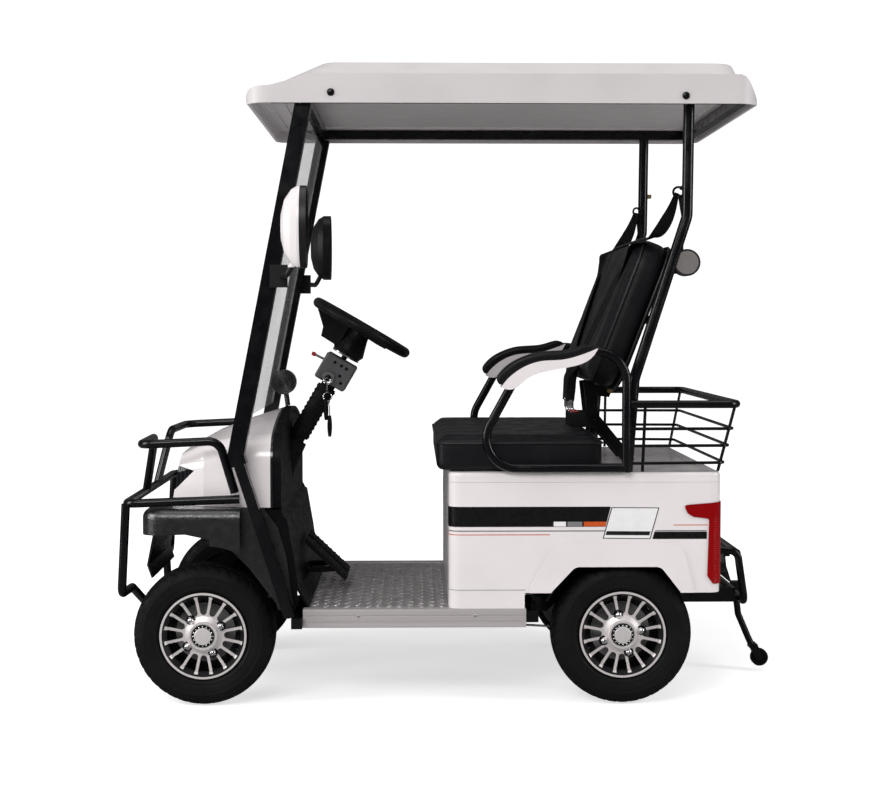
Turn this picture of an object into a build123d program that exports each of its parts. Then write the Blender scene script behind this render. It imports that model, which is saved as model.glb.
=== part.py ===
from build123d import *
from math import atan2, cos, hypot, radians, sin
import os

os.makedirs("parts", exist_ok=True)

# A two-seat electric golf cart. Lengths are in millimetres.
# While the cart is drawn, X runs back from the front axle, Y to the cart's right and Z up from the ground.
# save() moves X = 0 to the middle of the overall length.

# ---------------------------------------------------------------- driving dimensions
NOSE_X = -212.4            # foremost point, the corner of the front guard's foot
TAIL_X = 1524.0            # rearmost point, the anti-tip wheel
MID_X = (NOSE_X + TAIL_X) / 2
WHEELBASE = 1065.0
TRACK_HALF = 355.0         # wheel centre plane from the middle of the cart
TYRE_R = 180.0
TYRE_HALF_W = 65.0
KINGPIN_Y = 290.0
ARM_REACH = 65.0           # steering arm, from the kingpin forward to its stud
TIE_ROD_X = -62.0
TIE_ROD_Z = 146.0
ROOF_HALF_W = 475.0
ROOF_BOTTOM_Z = 1514.0
BODY_HALF_W = 430.0
BODY_FRONT_X = 622.0
BODY_REAR_X = 1312.0
DECK_Z = 596.0             # top of the rear body
FLOOR_Z = 247.5            # top of the floor plate
SILL_TOP_Z = 250.0
RAIL_TOP_Z = 243.0
FENDER_TOP_Z = 506.0
PILLAR_Y = (421.0, 459.0)  # inner and outer face of a front pillar
REAR_PILLAR_Y = 412.0
ARM_Y = 443.0
GUARD_Y = 423.0
WALL = 4.0                 # moulded body panels
COLUMN_TOP = Vector(390.5, 0, 959.0)       # centre of the steering wheel's rim
COLUMN_DIR = Vector(0.504, 0, 0.8637)      # up along the steering column
SEAT_LEAN = 21.0           # degrees

NODES = {}


def save(name, shape):
    NODES[name] = shape
    placed = Pos(-MID_X, 0, 0) * shape
    export_step(placed, f"parts/{name}.step")


# ---------------------------------------------------------------- shape helpers
def prism_xz(points, y0, y1):
    plane = Plane(origin=(0, y1, 0), x_dir=(1, 0, 0), z_dir=(0, -1, 0))
    return extrude(plane * make_face(Polyline(*points, close=True)), y1 - y0)


def block(x0, x1, y0, y1, z0, z1):
    return Pos((x0 + x1) / 2, (y0 + y1) / 2, (z0 + z1) / 2) * Box(x1 - x0, y1 - y0, z1 - z0)


def rounded_slab(x0, x1, half_w, z0, z1, corner):
    face = Pos((x0 + x1) / 2, 0, z0) * RectangleRounded(x1 - x0, 2 * half_w, corner)
    return extrude(face, z1 - z0)


def rod(start, end, radius):
    start, end = Vector(*start), Vector(*end)
    plane = Plane(origin=start, z_dir=end - start)
    return plane * Cylinder(radius, (end - start).length, align=(Align.CENTER, Align.CENTER, Align.MIN))


def tube(points, radius, bend):
    path = FilletPolyline(*points, radius=bend)
    return sweep(Plane(origin=path @ 0, z_dir=path % 0) * Circle(radius), path=path)


def ribbon(points, width):
    """Outline of a band of constant width along a line of points, with mitred corners."""
    left, right = [], []
    for i, (x, z) in enumerate(points):
        ways = []
        if i > 0:
            ways.append((x - points[i - 1][0], z - points[i - 1][1]))
        if i < len(points) - 1:
            ways.append((points[i + 1][0] - x, points[i + 1][1] - z))
        units = [(dx / hypot(dx, dz), dz / hypot(dx, dz)) for dx, dz in ways]
        tx, tz = sum(u[0] for u in units), sum(u[1] for u in units)
        tx, tz = tx / hypot(tx, tz), tz / hypot(tx, tz)
        reach = width / 2 / (tx * units[0][0] + tz * units[0][1])
        left.append((x - tz * reach, z + tx * reach))
        right.append((x + tz * reach, z - tx * reach))
    return left + right[::-1]


def along(distance):
    return COLUMN_TOP - COLUMN_DIR * distance


def mirrored(shape):
    return mirror(shape, about=Plane.XZ)


def pair(shape):
    return shape + mirrored(shape)


def at_wheel(shape, x, side):
    """Puts a wheel piece, drawn about +Z with +Z outboard, at an axle on one side of the cart (-1 left)."""
    place = Plane(origin=(x, side * TRACK_HALF, TYRE_R), x_dir=(1, 0, 0), z_dir=(0, side, 0))
    return place * shape


# ---------------------------------------------------------------- chassis
RAIL_Y = (165.0, 205.0)
RAIL_LINE = [(-150, 224), (880, 224), (940, 281), (1190, 281), (1235, 247), (1392, 247)]
RAIL_DEPTH = 38.0
RAIL_BOTTOM_Z = 205.0
TOUCH = 0.1                # air left between welded neighbours
CROSS_MEMBERS = (          # front X, rear X, bottom Z, top Z
    (-150, -130, RAIL_BOTTOM_Z, RAIL_TOP_Z),
    (-116, -80, RAIL_BOTTOM_Z, RAIL_TOP_Z),
    (262, 292, RAIL_BOTTOM_Z, RAIL_TOP_Z),
    (600, 630, RAIL_BOTTOM_Z, RAIL_TOP_Z),
    (850, 880, RAIL_BOTTOM_Z, RAIL_TOP_Z),
    (1200, 1225, 262, 290),
    (1362, 1392, 228, 266),
)
OUTRIGGERS = (             # front X, rear X, outer Y, bottom Z, top Z
    (226, 253.5, 459, RAIL_BOTTOM_Z, 232),
    (275, 305, 399.5, 208, RAIL_TOP_Z),
    (540, 570, 399.5, 208, RAIL_TOP_Z),
    (770, 800, 399.5, 208, RAIL_TOP_Z),
    (819, 850, 422, 214, RAIL_TOP_Z),
)


def frame_rails():
    return pair(prism_xz(ribbon(RAIL_LINE, RAIL_DEPTH), *RAIL_Y))


def frame_cross_members():
    inner = RAIL_Y[0] - TOUCH
    return Compound([block(x0, x1, -inner, inner, z0, z1) for x0, x1, z0, z1 in CROSS_MEMBERS])


def frame_outriggers():
    """Brackets from the rails out to the sills, the first under each front pillar."""
    outer = RAIL_Y[1] + TOUCH
    arms = [block(x0, x1, outer, y1, z0, z1) for x0, x1, y1, z0, z1 in OUTRIGGERS]
    return Compound(arms + [mirrored(arm) for arm in arms])


def floor_plate():
    return block(262, 640, -399.5, 399.5, RAIL_TOP_Z, FLOOR_Z)


def side_sill():
    outer = block(254, 818, 400, 430, 203, SILL_TOP_Z)
    hollow = block(253, 819, 403, 427, 206, SILL_TOP_Z - 3)
    groove = block(253, 819, 429, 431, 0, 2.5)
    sill = outer - hollow
    for z in (219.0, 236.0):
        sill -= Pos(0, 0, z) * groove
    return pair(sill)


# ---------------------------------------------------------------- running gear
EAR_R = 15.0
PIN_R = 8.0
SPINDLE_R = 12.0
FIT = 0.06


def front_axle():
    beam = rod((0, -262, TYRE_R), (0, 262, TYRE_R), 18)
    yoke = block(-15, 15, 254, 272, TYRE_R - 40, TYRE_R + 40)
    for z in (TYRE_R - 40, TYRE_R + 26):
        yoke += block(-15, 15, 254, KINGPIN_Y, z, z + 14)
        yoke += Pos(0, KINGPIN_Y, z) * Cylinder(EAR_R, 14, align=(Align.CENTER, Align.CENTER, Align.MIN))
    bore = rod((0, KINGPIN_Y, 100), (0, KINGPIN_Y, 260), PIN_R + FIT)
    saddle = block(-22, 22, 168, 202, TYRE_R - 10, 205)
    return beam + pair(yoke - bore) + pair(saddle - rod((0, 0, TYRE_R), (0, 300, TYRE_R), 17))


def knuckle():
    sleeve = rod((0, KINGPIN_Y, TYRE_R - 25), (0, KINGPIN_Y, TYRE_R + 25), 13)
    pin = rod((0, KINGPIN_Y, TYRE_R - 44), (0, KINGPIN_Y, TYRE_R + 44), PIN_R)
    shoulder = rod((0, KINGPIN_Y, TYRE_R), (0, TRACK_HALF - 12, TYRE_R), 20)
    shoulder -= rod((0, 0, TYRE_R), (0, KINGPIN_Y, TYRE_R), 30)
    spindle = rod((0, KINGPIN_Y, TYRE_R), (0, TRACK_HALF + 16, TYRE_R), SPINDLE_R)
    arm = block(-ARM_REACH, 0, KINGPIN_Y - 8, KINGPIN_Y + 8, 164, 173)
    arm += rod((-ARM_REACH, KINGPIN_Y, 164), (-ARM_REACH, KINGPIN_Y, 173), 10)
    stud = rod((-ARM_REACH, KINGPIN_Y, 155), (-ARM_REACH, KINGPIN_Y, 166), 5)
    return sleeve + pin + shoulder + spindle + arm + stud


def tie_rod():
    bar = rod((TIE_ROD_X, -284, TIE_ROD_Z), (TIE_ROD_X, 284, TIE_ROD_Z), 7)
    return bar + pair(Pos(TIE_ROD_X, 286, TIE_ROD_Z) * Sphere(7.8))


def rear_axle():
    housing = rod((WHEELBASE, -TRACK_HALF + 14, TYRE_R), (WHEELBASE, TRACK_HALF - 14, TYRE_R), 26)
    carrier = Pos(WHEELBASE, 0, TYRE_R) * Rot(90, 0, 0) * Cylinder(58, 90)
    spindle = rod((WHEELBASE, 0, TYRE_R), (WHEELBASE, TRACK_HALF + 16, TYRE_R), SPINDLE_R)
    seat = block(WHEELBASE - 24, WHEELBASE + 24, 168, 202, TYRE_R, 262)
    return housing + carrier + pair(spindle) + pair(seat)


def drive_motor():
    body = Pos(WHEELBASE - 118, 60, TYRE_R + 6) * Rot(90, 0, 0) * Cylinder(56, 190)
    return fillet(body.edges(), 6)


def shock_absorbers():
    x = WHEELBASE + 70
    lower = rod((x, 240, TYRE_R - 10), (x, 240, 300), 9)
    upper = rod((x, 240, 262), (x, 240, 372), 21)
    link = block(WHEELBASE + 20, x + 6, 232, 248, TYRE_R - 16, TYRE_R)
    ear = block(x - 10, x + 10, 205, 240, 274, 296)
    link -= rod((WHEELBASE, 0, TYRE_R), (WHEELBASE, 300, TYRE_R), 26)
    return pair(lower + upper + link + ear)


RIM_LIP_R = 110.0
BARREL_R = 100.0
SPOKES = 16
STUD_RING_R = 94.5


def tyre():
    """Tyre about +Z: crown, shoulders, walls and beads. The rim closes it, so it is solid inside."""
    half = ((BARREL_R + 0.5, 46), (113, 57), (150, TYRE_HALF_W), (TYRE_R, 42))
    section = [(r, -z) for r, z in half] + [(r, z) for r, z in half[::-1]]
    return revolve(Plane.XZ * make_face(Polyline(*section, close=True)), Axis.Z)


def rim_pocket():
    """A U-shaped opening between two spokes, round at its inner end."""
    inner, outer, spoke = 60.0, BARREL_R - 7, 3.6
    half_angle = radians(180 / SPOKES)
    sides = []
    for radius in (inner, outer):
        sides.append((radius, radius * sin(half_angle) / cos(half_angle) - spoke))
    (x0, y0), (x1, y1) = sides
    edge = [Line((x0, y0), (x1, y1)), RadiusArc((x1, y1), (x1, -y1), outer), Line((x1, -y1), (x0, -y0))]
    edge.append(ThreePointArc((x0, -y0), (x0 - y0, 0), (x0, y0)))
    return extrude(Pos(0, 0, 20) * make_face(Wire(edge)), 40)


def wheel_rim():
    """Cast wheel about +Z: barrel with two lips, a dished face with sixteen spokes, hub and brake disc."""
    half = 52.0
    barrel = [
        (BARREL_R - 7, -half + 2), (RIM_LIP_R, -half - 8), (RIM_LIP_R, -half - 4), (BARREL_R, -half + 4),
        (BARREL_R, half - 4), (RIM_LIP_R, half + 4), (RIM_LIP_R, half + 8), (RIM_LIP_R - 6, half + 8),
        (BARREL_R - 7, half - 6),
    ]
    barrel = Polyline(*barrel, close=True)
    barrel = revolve(Plane.XZ * make_face(barrel), Axis.Z)
    face = [(0, 28), (BARREL_R - 3, 38), (BARREL_R - 3, 47), (48, 44), (36, 50), (34, 56), (0, 56)]
    face = Polyline(*face, close=True)
    face = revolve(Plane.XZ * make_face(face), Axis.Z)
    face -= [Rot(0, 0, i * 360 / SPOKES) * rim_pocket() for i in range(SPOKES)]
    between = radians(180 / SPOKES)
    stud = Pos(STUD_RING_R * cos(between), STUD_RING_R * sin(between), 36)
    stud = stud * Cylinder(4.2, 14, align=(Align.CENTER, Align.CENTER, Align.MIN))
    face += [Rot(0, 0, i * 360 / SPOKES) * stud for i in range(SPOKES)]
    face += Pos(0, 0, 55) * Cone(31, 27, 9, align=(Align.CENTER, Align.CENTER, Align.MIN))
    hub = Pos(0, 0, -8) * Cylinder(30, 46, align=(Align.CENTER, Align.CENTER, Align.MIN))
    disc = Pos(0, 0, -6) * Cylinder(76, 6, align=(Align.CENTER, Align.CENTER, Align.MIN))
    bore = Pos(0, 0, -10) * Cylinder(SPINDLE_R + FIT, 28, align=(Align.CENTER, Align.CENTER, Align.MIN))
    return barrel + face + hub + disc - bore


# ---------------------------------------------------------------- front end
COWL_SECTIONS = (           # X, half width, crest height, shoulder radius, rise of the crown
    (-92, 322, 627, 40, 3),
    (-50, 348, 650, 48, 8),
    (0, 380, 678, 58, 14),
    (90, 404, 712, 68, 26),
    (150, 411, 731, 74, 42),
    (178, 414, 740, 78, 50),
)
COWL_FACE = [(-89, 500), (-62, 645), (-120, 645), (-120, 500)]   # what leans away from the blunt nose
COWL_BOTTOM_Z = 506.5


def cowl_section(x, half, crest, corner, crown, bottom):
    """A cross section of the cowl: upright sides, rounded shoulders and a crowned top."""
    slope = 2 * atan2(crown, half - corner)
    start = crest - crown - corner * cos(slope)
    edge = half - corner * (1 - sin(slope))
    side = Line((half, bottom), (half, start))
    arc = RadiusArc((half, start), (edge, crest - crown), -corner)
    over = ThreePointArc((edge, crest - crown), (0, crest), (-edge, crest - crown))
    arc2 = RadiusArc((-edge, crest - crown), (-half, start), -corner)
    side2 = Line((-half, start), (-half, bottom))
    base = Line((-half, bottom), (half, bottom))
    plane = Plane(origin=(x, 0, 0), x_dir=(0, 1, 0), z_dir=(1, 0, 0))
    return plane * make_face(Wire([side, arc, over, arc2, side2, base]))


def cowl_body(inset):
    """The cowl's outer form, or the space inside a wall of the given thickness."""
    faces = []
    last = len(COWL_SECTIONS) - 1
    for i, (x, half, crest, corner, crown) in enumerate(COWL_SECTIONS):
        x += inset if i == 0 else 1 if i == last and inset else 0
        bottom = COWL_BOTTOM_Z - (1 if inset else 0)
        faces.append(cowl_section(x, half - inset, crest - inset, corner - inset, crown, bottom))
    return loft(faces, ruled=True)


LAMP_OUTLINE = [(-120, 606), (-66, 606), (-26, 596), (-79, 545), (-120, 545)]


def lamp_region(grow):
    reach = [(x + (grow if x > -60 else 0), z) for x, z in LAMP_OUTLINE]
    return prism_xz(reach, 250 - grow, 430)


def nose_plane(depth):
    """What lies ahead of the leaning front face, or of a plane that far behind it."""
    return Pos(depth, 0, 0) * prism_xz(COWL_FACE, -450, 450)


def nose_cowl():
    shell = cowl_body(0) - nose_plane(0) - (cowl_body(WALL) - nose_plane(WALL))
    return shell - pair(lamp_region(0.5))


def headlamps():
    skin = cowl_body(0) - nose_plane(0) - (cowl_body(18) - nose_plane(18))
    return pair(skin & lamp_region(0))


ARCH_R = 236.0             # inside of the front wheel arch, about the axle
SHEET = 5.0
SKIRT = [                   # side skirt behind the wheel, round to its edge over the tyre
    (20, 502), (156, 502), (191, 455), (212, 380), (222, 297), (231, 246),
    (190, 246), (186, 262), (157, 300), (118, 352), (66, 404), (20, 431),
]
LEDGE_CUT = [(-200, 300), (-200, 437), (-100, 441), (-39, 443), (22, 430), (22, 300)]
VALANCE_LINE = [(-70, 503), (-128, 482), (-150, 440), (-172, 330), (-160, 296)]


def wheel_well(radius):
    return rod((0, -500, TYRE_R), (0, 500, TYRE_R), radius)


def front_fender():
    """Fender tops over both wheels, their side skirts, the arch liners and the apron between them."""
    slab = rounded_slab(-152, 160, 452, 380, FENDER_TOP_Z, 60)
    slab = fillet(slab.edges().group_by(Axis.Z)[-1], 25)
    hollow = rounded_slab(-147, 190, 447, 370, FENDER_TOP_Z - SHEET, 55)
    top = slab - fillet(hollow.edges().group_by(Axis.Z)[-1], 20)
    top -= block(98, 200, -460, 460, 370, 600)
    top -= prism_xz(LEDGE_CUT, -460, 460)
    top -= block(-200, -70, -262, 262, 300, 600)
    rear = block(97.5, 156, -412, 412, FENDER_TOP_Z - SHEET, FENDER_TOP_Z)
    skirt = prism_xz(SKIRT, 407, 412)
    liner = (wheel_well(ARCH_R) - wheel_well(ARCH_R - SHEET)) & block(18, 235, 210, 407.5, 246, 420)
    valance = prism_xz(ribbon(VALANCE_LINE, SHEET), -198, 198)
    fender = top + rear - wheel_well(ARCH_R - 1) + pair(skirt) + pair(liner) + valance
    return fender - rod(along(900), along(300), 24)


CHEEK = [(157, 500), (196, 500), (210, 474), (228, 370), (238, 300), (240, 252), (232, 252), (157, 480)]
DASH_LINE = [(186.5, 742), (193, 710), (195, 560), (197, 482), (210, 474), (228, 370), (238, 300), (266, 252)]
DASH_CREST_Z = 742.0
EDGE_BAND = 12.0            # depth of the edging round the back of the cowl


def dash_panel():
    """Toe board and dash in one sheet, cut to the cowl's section, with a band round the cowl's rear edge."""
    outline = cowl_section(170, 404, DASH_CREST_Z, 74, 50, 240)
    panel = prism_xz(ribbon(DASH_LINE, 6), -404, 404) & extrude(outline, 130)
    band = cowl_section(179, 410, DASH_CREST_Z, 78, 50, 507)
    inside = cowl_section(179, 410 - EDGE_BAND, DASH_CREST_Z - EDGE_BAND, 78 - EDGE_BAND, 50, 500)
    band = extrude(band, 20) - extrude(inside, 20)
    cheek = prism_xz(CHEEK, 399, 404)
    column = rod(along(700), along(0), 41)
    return panel + band + pair(cheek) - column


PEDAL_TOP = (241.0, 380.0)
PEDAL_FOOT = (350.0, 276.0)
PEDAL_RIBS = 9
PEDAL_THICK = 11.0
RIB_R = 2.5


def pedals():
    """Two ribbed treads, one each side of the column, on arms from the toe board."""
    run = (PEDAL_FOOT[0] - PEDAL_TOP[0], PEDAL_FOOT[1] - PEDAL_TOP[1])
    tread = prism_xz(ribbon([PEDAL_TOP, PEDAL_FOOT], PEDAL_THICK), 18, 102)
    for i in range(PEDAL_RIBS):
        share = (i + 0.7) / (PEDAL_RIBS + 0.4)
        x = PEDAL_TOP[0] + run[0] * share + 3.6
        z = PEDAL_TOP[1] + run[1] * share + 3.8
        tread += rod((x, 20, z), (x, 100, z), RIB_R)
    arm = prism_xz(ribbon([(322, 299), (236, 296)], 14), 52, 68)
    return pair(tread + arm - dash_panel())


PILLAR_W = 40.0
LEG_W = 26.0
FRONT_PILLAR_LINE = [(262, 1519.5), (90, 643), (222, 232)]


def front_pillars():
    """Square tube down from the roof to the elbow, then a narrower leg out to the frame."""
    top, elbow, foot = FRONT_PILLAR_LINE
    post = prism_xz(ribbon([top, elbow, (elbow[0] + 8, elbow[1] - 26)], PILLAR_W), *PILLAR_Y)
    leg = prism_xz(ribbon([(elbow[0] - 2, elbow[1] + 6), foot], LEG_W), *PILLAR_Y)
    return pair((post + leg) & block(0, 400, 0, 500, 232, 1519.5))


def windshield():
    line = [(258, 1499), (107.5, 732)]
    return prism_xz(ribbon(line, 5), -420.5, 420.5)


GUARD_R = 11.0


def front_guard():
    side = GUARD_Y
    bow = [(84, side, 545), (45, side, 676), (-152, side, 667), (-158, 150, 667), (-190, 95, 518)]
    upper = tube(bow, GUARD_R, 36)
    lower = tube([(96, side, 529), (-190, side, 518), (-190, -side, 518), (96, -side, 529)], GUARD_R, 30)
    leg = [(-190, side, 518), (-202, side, 290), (-196, 300, 288), (-176, 188, 226), (-151, 188, 226)]
    foot = tube(leg, GUARD_R, 20)
    return pair(upper) + lower + pair(foot)


def dash_horn():
    bell = Pos(176, 0, 809) * Rot(90, 0, 0) * Cylinder(34, 34)
    stem = rod((186.4, 0, 744), (180, 0, 790), 7)
    ring = Pos(176, 0, 809) * Rot(90, 0, 0) * (Cylinder(22, 40) - Cylinder(14, 42))
    return bell + ring + stem


# ---------------------------------------------------------------- steering
SHAFT_R = 8.0


def steering_column():
    pipe = rod(along(914), along(120), 20)
    boot = rod(along(345), along(190), 26)
    for i in range(11):
        boot += rod(along(340 - i * 14), along(334 - i * 14), 27.8)
    cover = Cone(40, 30, 104, align=(Align.CENTER, Align.CENTER, Align.MIN))
    cover = Plane(origin=along(462), z_dir=COLUMN_DIR) * cover
    gear = block(-96, -40, -58, 58, 122, 170)
    gear += block(-96, -66, -40, 40, 168, 205)
    pipe = pipe & block(-200, 400, -50, 50, 160, 900)
    shaft_bore = rod(along(230), along(100), SHAFT_R + FIT)
    rod_bore = rod((TIE_ROD_X, -70, TIE_ROD_Z), (TIE_ROD_X, 70, TIE_ROD_Z), 7 + FIT)
    return pipe + boot + cover + gear - shaft_bore - rod_bore


def switch_box():
    plane = Plane(origin=along(140), x_dir=COLUMN_DIR.cross(Vector(0, 1, 0)), z_dir=COLUMN_DIR)
    case = plane * Box(92, 96, 78)
    case = fillet(case.edges(), 7)
    key = Pos(300, -48, 822) * Rot(90, 0, 0) * Cylinder(13, 12)
    stalk = rod(along(110) + Vector(-30, -20, 0), along(100) + Vector(-75, -30, 12), 3)
    return case + key + stalk - rod(along(400), along(60), 20.5)


WHEEL_R = 137.0
GRIP_R = 14.0
SPOKE_WEB = [(-132, -2), (-128, -16), (-92, -50), (-84, -75), (-30, -77), (-30, -8)]  # off the axis, along it


def column_plane(offset):
    """Plane through the column's axis, x away from the dash and y up the column."""
    away = Vector(COLUMN_DIR.Z, 0, -COLUMN_DIR.X)
    return Plane(origin=COLUMN_TOP + Vector(0, offset, 0), x_dir=away, z_dir=away.cross(COLUMN_DIR))


def steering_wheel():
    """Rim, a deep web towards the dash, two flat spokes towards the driver and a cup-shaped hub."""
    rim = Plane(origin=COLUMN_TOP, z_dir=COLUMN_DIR) * Torus(WHEEL_R, GRIP_R)
    web = extrude(column_plane(0) * make_face(Polyline(*SPOKE_WEB, close=True)), 32, both=True)
    arms = None
    for angle in (-58, 58):
        plane = Plane(origin=along(12), z_dir=COLUMN_DIR, x_dir=Vector(COLUMN_DIR.Z, 0, -COLUMN_DIR.X))
        arm = plane * Rot(0, 0, angle) * Pos(72, 0, 0) * Box(130, 34, 10)
        arms = arm if arms is None else arms + arm
    cup = Polyline((0, -91), (36, -91), (46, -72), (34, -30), (30, -6), (0, -6), close=True)
    cup = revolve(column_plane(0) * make_face(cup), Axis(COLUMN_TOP, COLUMN_DIR))
    shaft = rod(along(180), along(90), SHAFT_R)
    return rim + web + arms + cup + shaft


# ---------------------------------------------------------------- roof
FRAME_RAIL_Y = (408.0, 433.0)
FRAME_RAIL_Z = (1520.0, 1545.0)


ROOF_RIM = [                # side outline of the roof's outer tray, with its rounded nose
    (121, ROOF_BOTTOM_Z), (117.5, 1522), (117.5, 1532), (121, 1543), (130, 1552), (144, 1555), (182, 1557),
    (284, 1586), (1346, 1586), (1358, 1581), (1366, 1573), (1380, 1549), (1393, 1525), (1391, ROOF_BOTTOM_Z),
]
ROOF_HOLLOW = [             # side outline of the space under the tray
    (129, ROOF_BOTTOM_Z - 1), (129, 1532), (134, 1543), (140, 1547),
    (1372, 1547), (1384, 1525), (1384, ROOF_BOTTOM_Z - 1),
]
CROWN_FOOT = (168, 1366, 880, 1560, 60)   # front, rear, width, height and corner of the crown's foot
CROWN_TOP = (298, 1356, 640, 1636, 50)    # the same of its flat top
FRAME_CROSS_X = (250, 1346)   # front faces of the roof frame's cross tubes
FRAME_TUBE = 25.0


def crown_outline(front, rear, width, height, corner):
    return Pos((front + rear) / 2, 0, height) * RectangleRounded(rear - front, width, corner)


def roof_shell():
    """A tray with a turned-down skirt, and a raised crown whose sides slope in."""
    tray = prism_xz(ROOF_RIM, -ROOF_HALF_W, ROOF_HALF_W)
    tray = tray & rounded_slab(117, 1394, ROOF_HALF_W, ROOF_BOTTOM_Z, 1600, 60)
    crown = loft([crown_outline(*CROWN_FOOT), crown_outline(*CROWN_TOP)], ruled=True)
    crown = fillet(crown.edges().group_by(Axis.Z)[-1], 14)
    hollow = prism_xz(ROOF_HOLLOW, -ROOF_HALF_W, ROOF_HALF_W)
    hollow = hollow & rounded_slab(127, 1385, ROOF_HALF_W - 8, ROOF_BOTTOM_Z - 2, 1548, 52)
    step = rounded_slab(236, 1330, 386, 1546, 1553, 40)
    ribs = block(160, 176, -400, 400, 1546, 1550) + block(196, 212, -400, 400, 1546, 1550)
    return tray + crown - hollow - step - ribs


def roof_frame():
    rail = pair(block(180, FRAME_CROSS_X[-1] + FRAME_TUBE, *FRAME_RAIL_Y, *FRAME_RAIL_Z))
    for x in FRAME_CROSS_X:
        rail += block(x, x + FRAME_TUBE, -410, 410, *FRAME_RAIL_Z)
    return rail


REAR_PILLAR_LINE = [(1225, 1519.7), (1222, 1240), (1091, 830), (1074, 590)]


def rear_pillars():
    posts = pair(tube([(x, REAR_PILLAR_Y, z) for x, z in REAR_PILLAR_LINE], 14, 60))
    posts += rod((1139, -REAR_PILLAR_Y, 980), (1139, REAR_PILLAR_Y, 980), 11)
    return posts - block(1000, 1200, -500, 500, 500, DECK_Z)


MIRROR_C = (248, 584, 1203)


def facing_aft(x, y, z):
    return Plane(origin=(x, y, z), x_dir=(0, 1, 0), z_dir=(1, 0, 0))


def mirror_housings():
    x, y, z = MIRROR_C
    # distance ahead of the glass, share of the full oval
    dome = [(-32, 0.34), (-24, 0.66), (-8, 0.9), (8, 1.0), (30, 1.0)]
    ovals = [facing_aft(x + dx, y, z) * Ellipse(62 * k, 99 * k) for dx, k in dome]
    shell = loft(ovals, ruled=True)
    shell -= extrude(facing_aft(x + 22, y, z) * Ellipse(57, 94), 16)
    arm = tube([(206, PILLAR_Y[1] + 0.5, 1088), (230, y, 1088), (250, y, 1125)], 7, 12)
    clamp = block(178, 222, PILLAR_Y[1] + 0.5, PILLAR_Y[1] + 12, 1060, 1116)
    return pair(shell + arm + clamp)


def mirror_glasses():
    x, y, z = MIRROR_C
    return pair(extrude(facing_aft(x + 22.2, y, z) * Ellipse(56.5, 93.5), 4))


# ---------------------------------------------------------------- rear body
ARCH = [(872, 200), (882, 292), (942, 356), (1159, 356), (1209, 292), (1216, 200)]
BODY_CORNER = 30.0
SEAM_Z = 571.0
LIP_Z = 290.0


def body_ring(inset, z0, z1):
    ends = (BODY_FRONT_X + inset, BODY_REAR_X - inset)
    return rounded_slab(*ends, BODY_HALF_W - inset, z0, z1, BODY_CORNER - inset)


def arch_cut():
    arch = prism_xz(ARCH, -BODY_HALF_W - 10, BODY_HALF_W + 10)
    corners = [e for e in arch.edges().filter_by(Axis.Y) if e.center().Z > 340]
    return fillet(corners, 26)


TAIL_LAMP = [
    (1217, 512), (1330, 521), (1330, 312), (1292, 312),
    (1277, 332), (1281, 478), (1240, 483), (1226, 492),
]


def tail_lamp_region(grow):
    """The lamp's L-shaped outline as a block through the body's corner, a little larger for its opening."""
    face = make_face(Polyline(*TAIL_LAMP, close=True))
    if grow:
        face = offset(face, grow, kind=Kind.INTERSECTION)
    plane = Plane(origin=(0, 440, 0), x_dir=(1, 0, 0), z_dir=(0, -1, 0))
    block_form = extrude(plane * face, 440 - 372 + grow)
    ends = [e for e in block_form.edges().filter_by(Axis.Y) if e.center().X < 1320]
    return fillet(ends, 6)


def rear_body():
    ring = body_ring(0, SILL_TOP_Z + 0.5, SEAM_Z - 0.5) - body_ring(WALL, 200, 600)
    ring -= block(814, BODY_REAR_X + 10, -500, 500, 200, LIP_Z)
    ring -= arch_cut()
    ring -= block(630, 1330, -300, 300, 200, 300)
    return ring + pair(arch_flare()) - pair(tail_lamp_region(0.5))


FLARE = [(826, LIP_Z), (832, 310), (884, 414), (1214, 418), (1240, 310), (1243, LIP_Z)]


def arch_flare():
    """A raised panel round the wheel arch, 3 mm proud of the side."""
    outer = prism_xz(FLARE, BODY_HALF_W - 1, BODY_HALF_W + 3)
    corners = [e for e in outer.edges().filter_by(Axis.Y) if e.center().Z > 350]
    return fillet(corners, 45) - arch_cut()


def tail_lamps():
    skin = body_ring(-3, 260, SEAM_Z - 0.5) - body_ring(22, 200, 600)
    return pair(skin & tail_lamp_region(0))


def rear_cover():
    """Flat lid of the rear body, which carries the seat and the basket."""
    lid = body_ring(0, SEAM_Z, DECK_Z)
    lid = fillet(lid.edges().group_by(Axis.Z)[-1], 8)
    return lid - body_ring(WALL, SEAM_Z - 1, DECK_Z - WALL)


def wheel_tubs():
    outline = [(866, 268), (932, 392), (1194, 392), (1254, 268)]
    hollow = [(870.5, 260), (935, 387.5), (1191, 387.5), (1253, 260)]
    tub = prism_xz(outline, 285, BODY_HALF_W - WALL - 0.5) - prism_xz(hollow, 289, BODY_HALF_W + 1)
    return pair(tub)


def battery_pack():
    pack = block(660, 850, -160, 160, 243.5, 440)
    return fillet(pack.edges().filter_by(Axis.Z), 8)


# ---------------------------------------------------------------- seat
CUSHION_HALF_W = 412.0


def seat_cushion():
    profile = [(600, 597), (586, 612), (586, 662), (606, 684), (1010, 684), (1018, 672), (1018, 597)]
    pad = prism_xz(profile, -CUSHION_HALF_W, CUSHION_HALF_W)
    return fillet(pad.faces().sort_by(Axis.Y)[0].edges() + pad.faces().sort_by(Axis.Y)[-1].edges(), 9)


SEAT_BACK_LOW = (976, 830)
SEAT_BACK_HIGH_Z = 1205.0
SEAT_BACK_THICK = 85.0
SEAT_BACK_HALF_W = 392.0
SEAT_BACK_CORNER = 78.0


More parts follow.
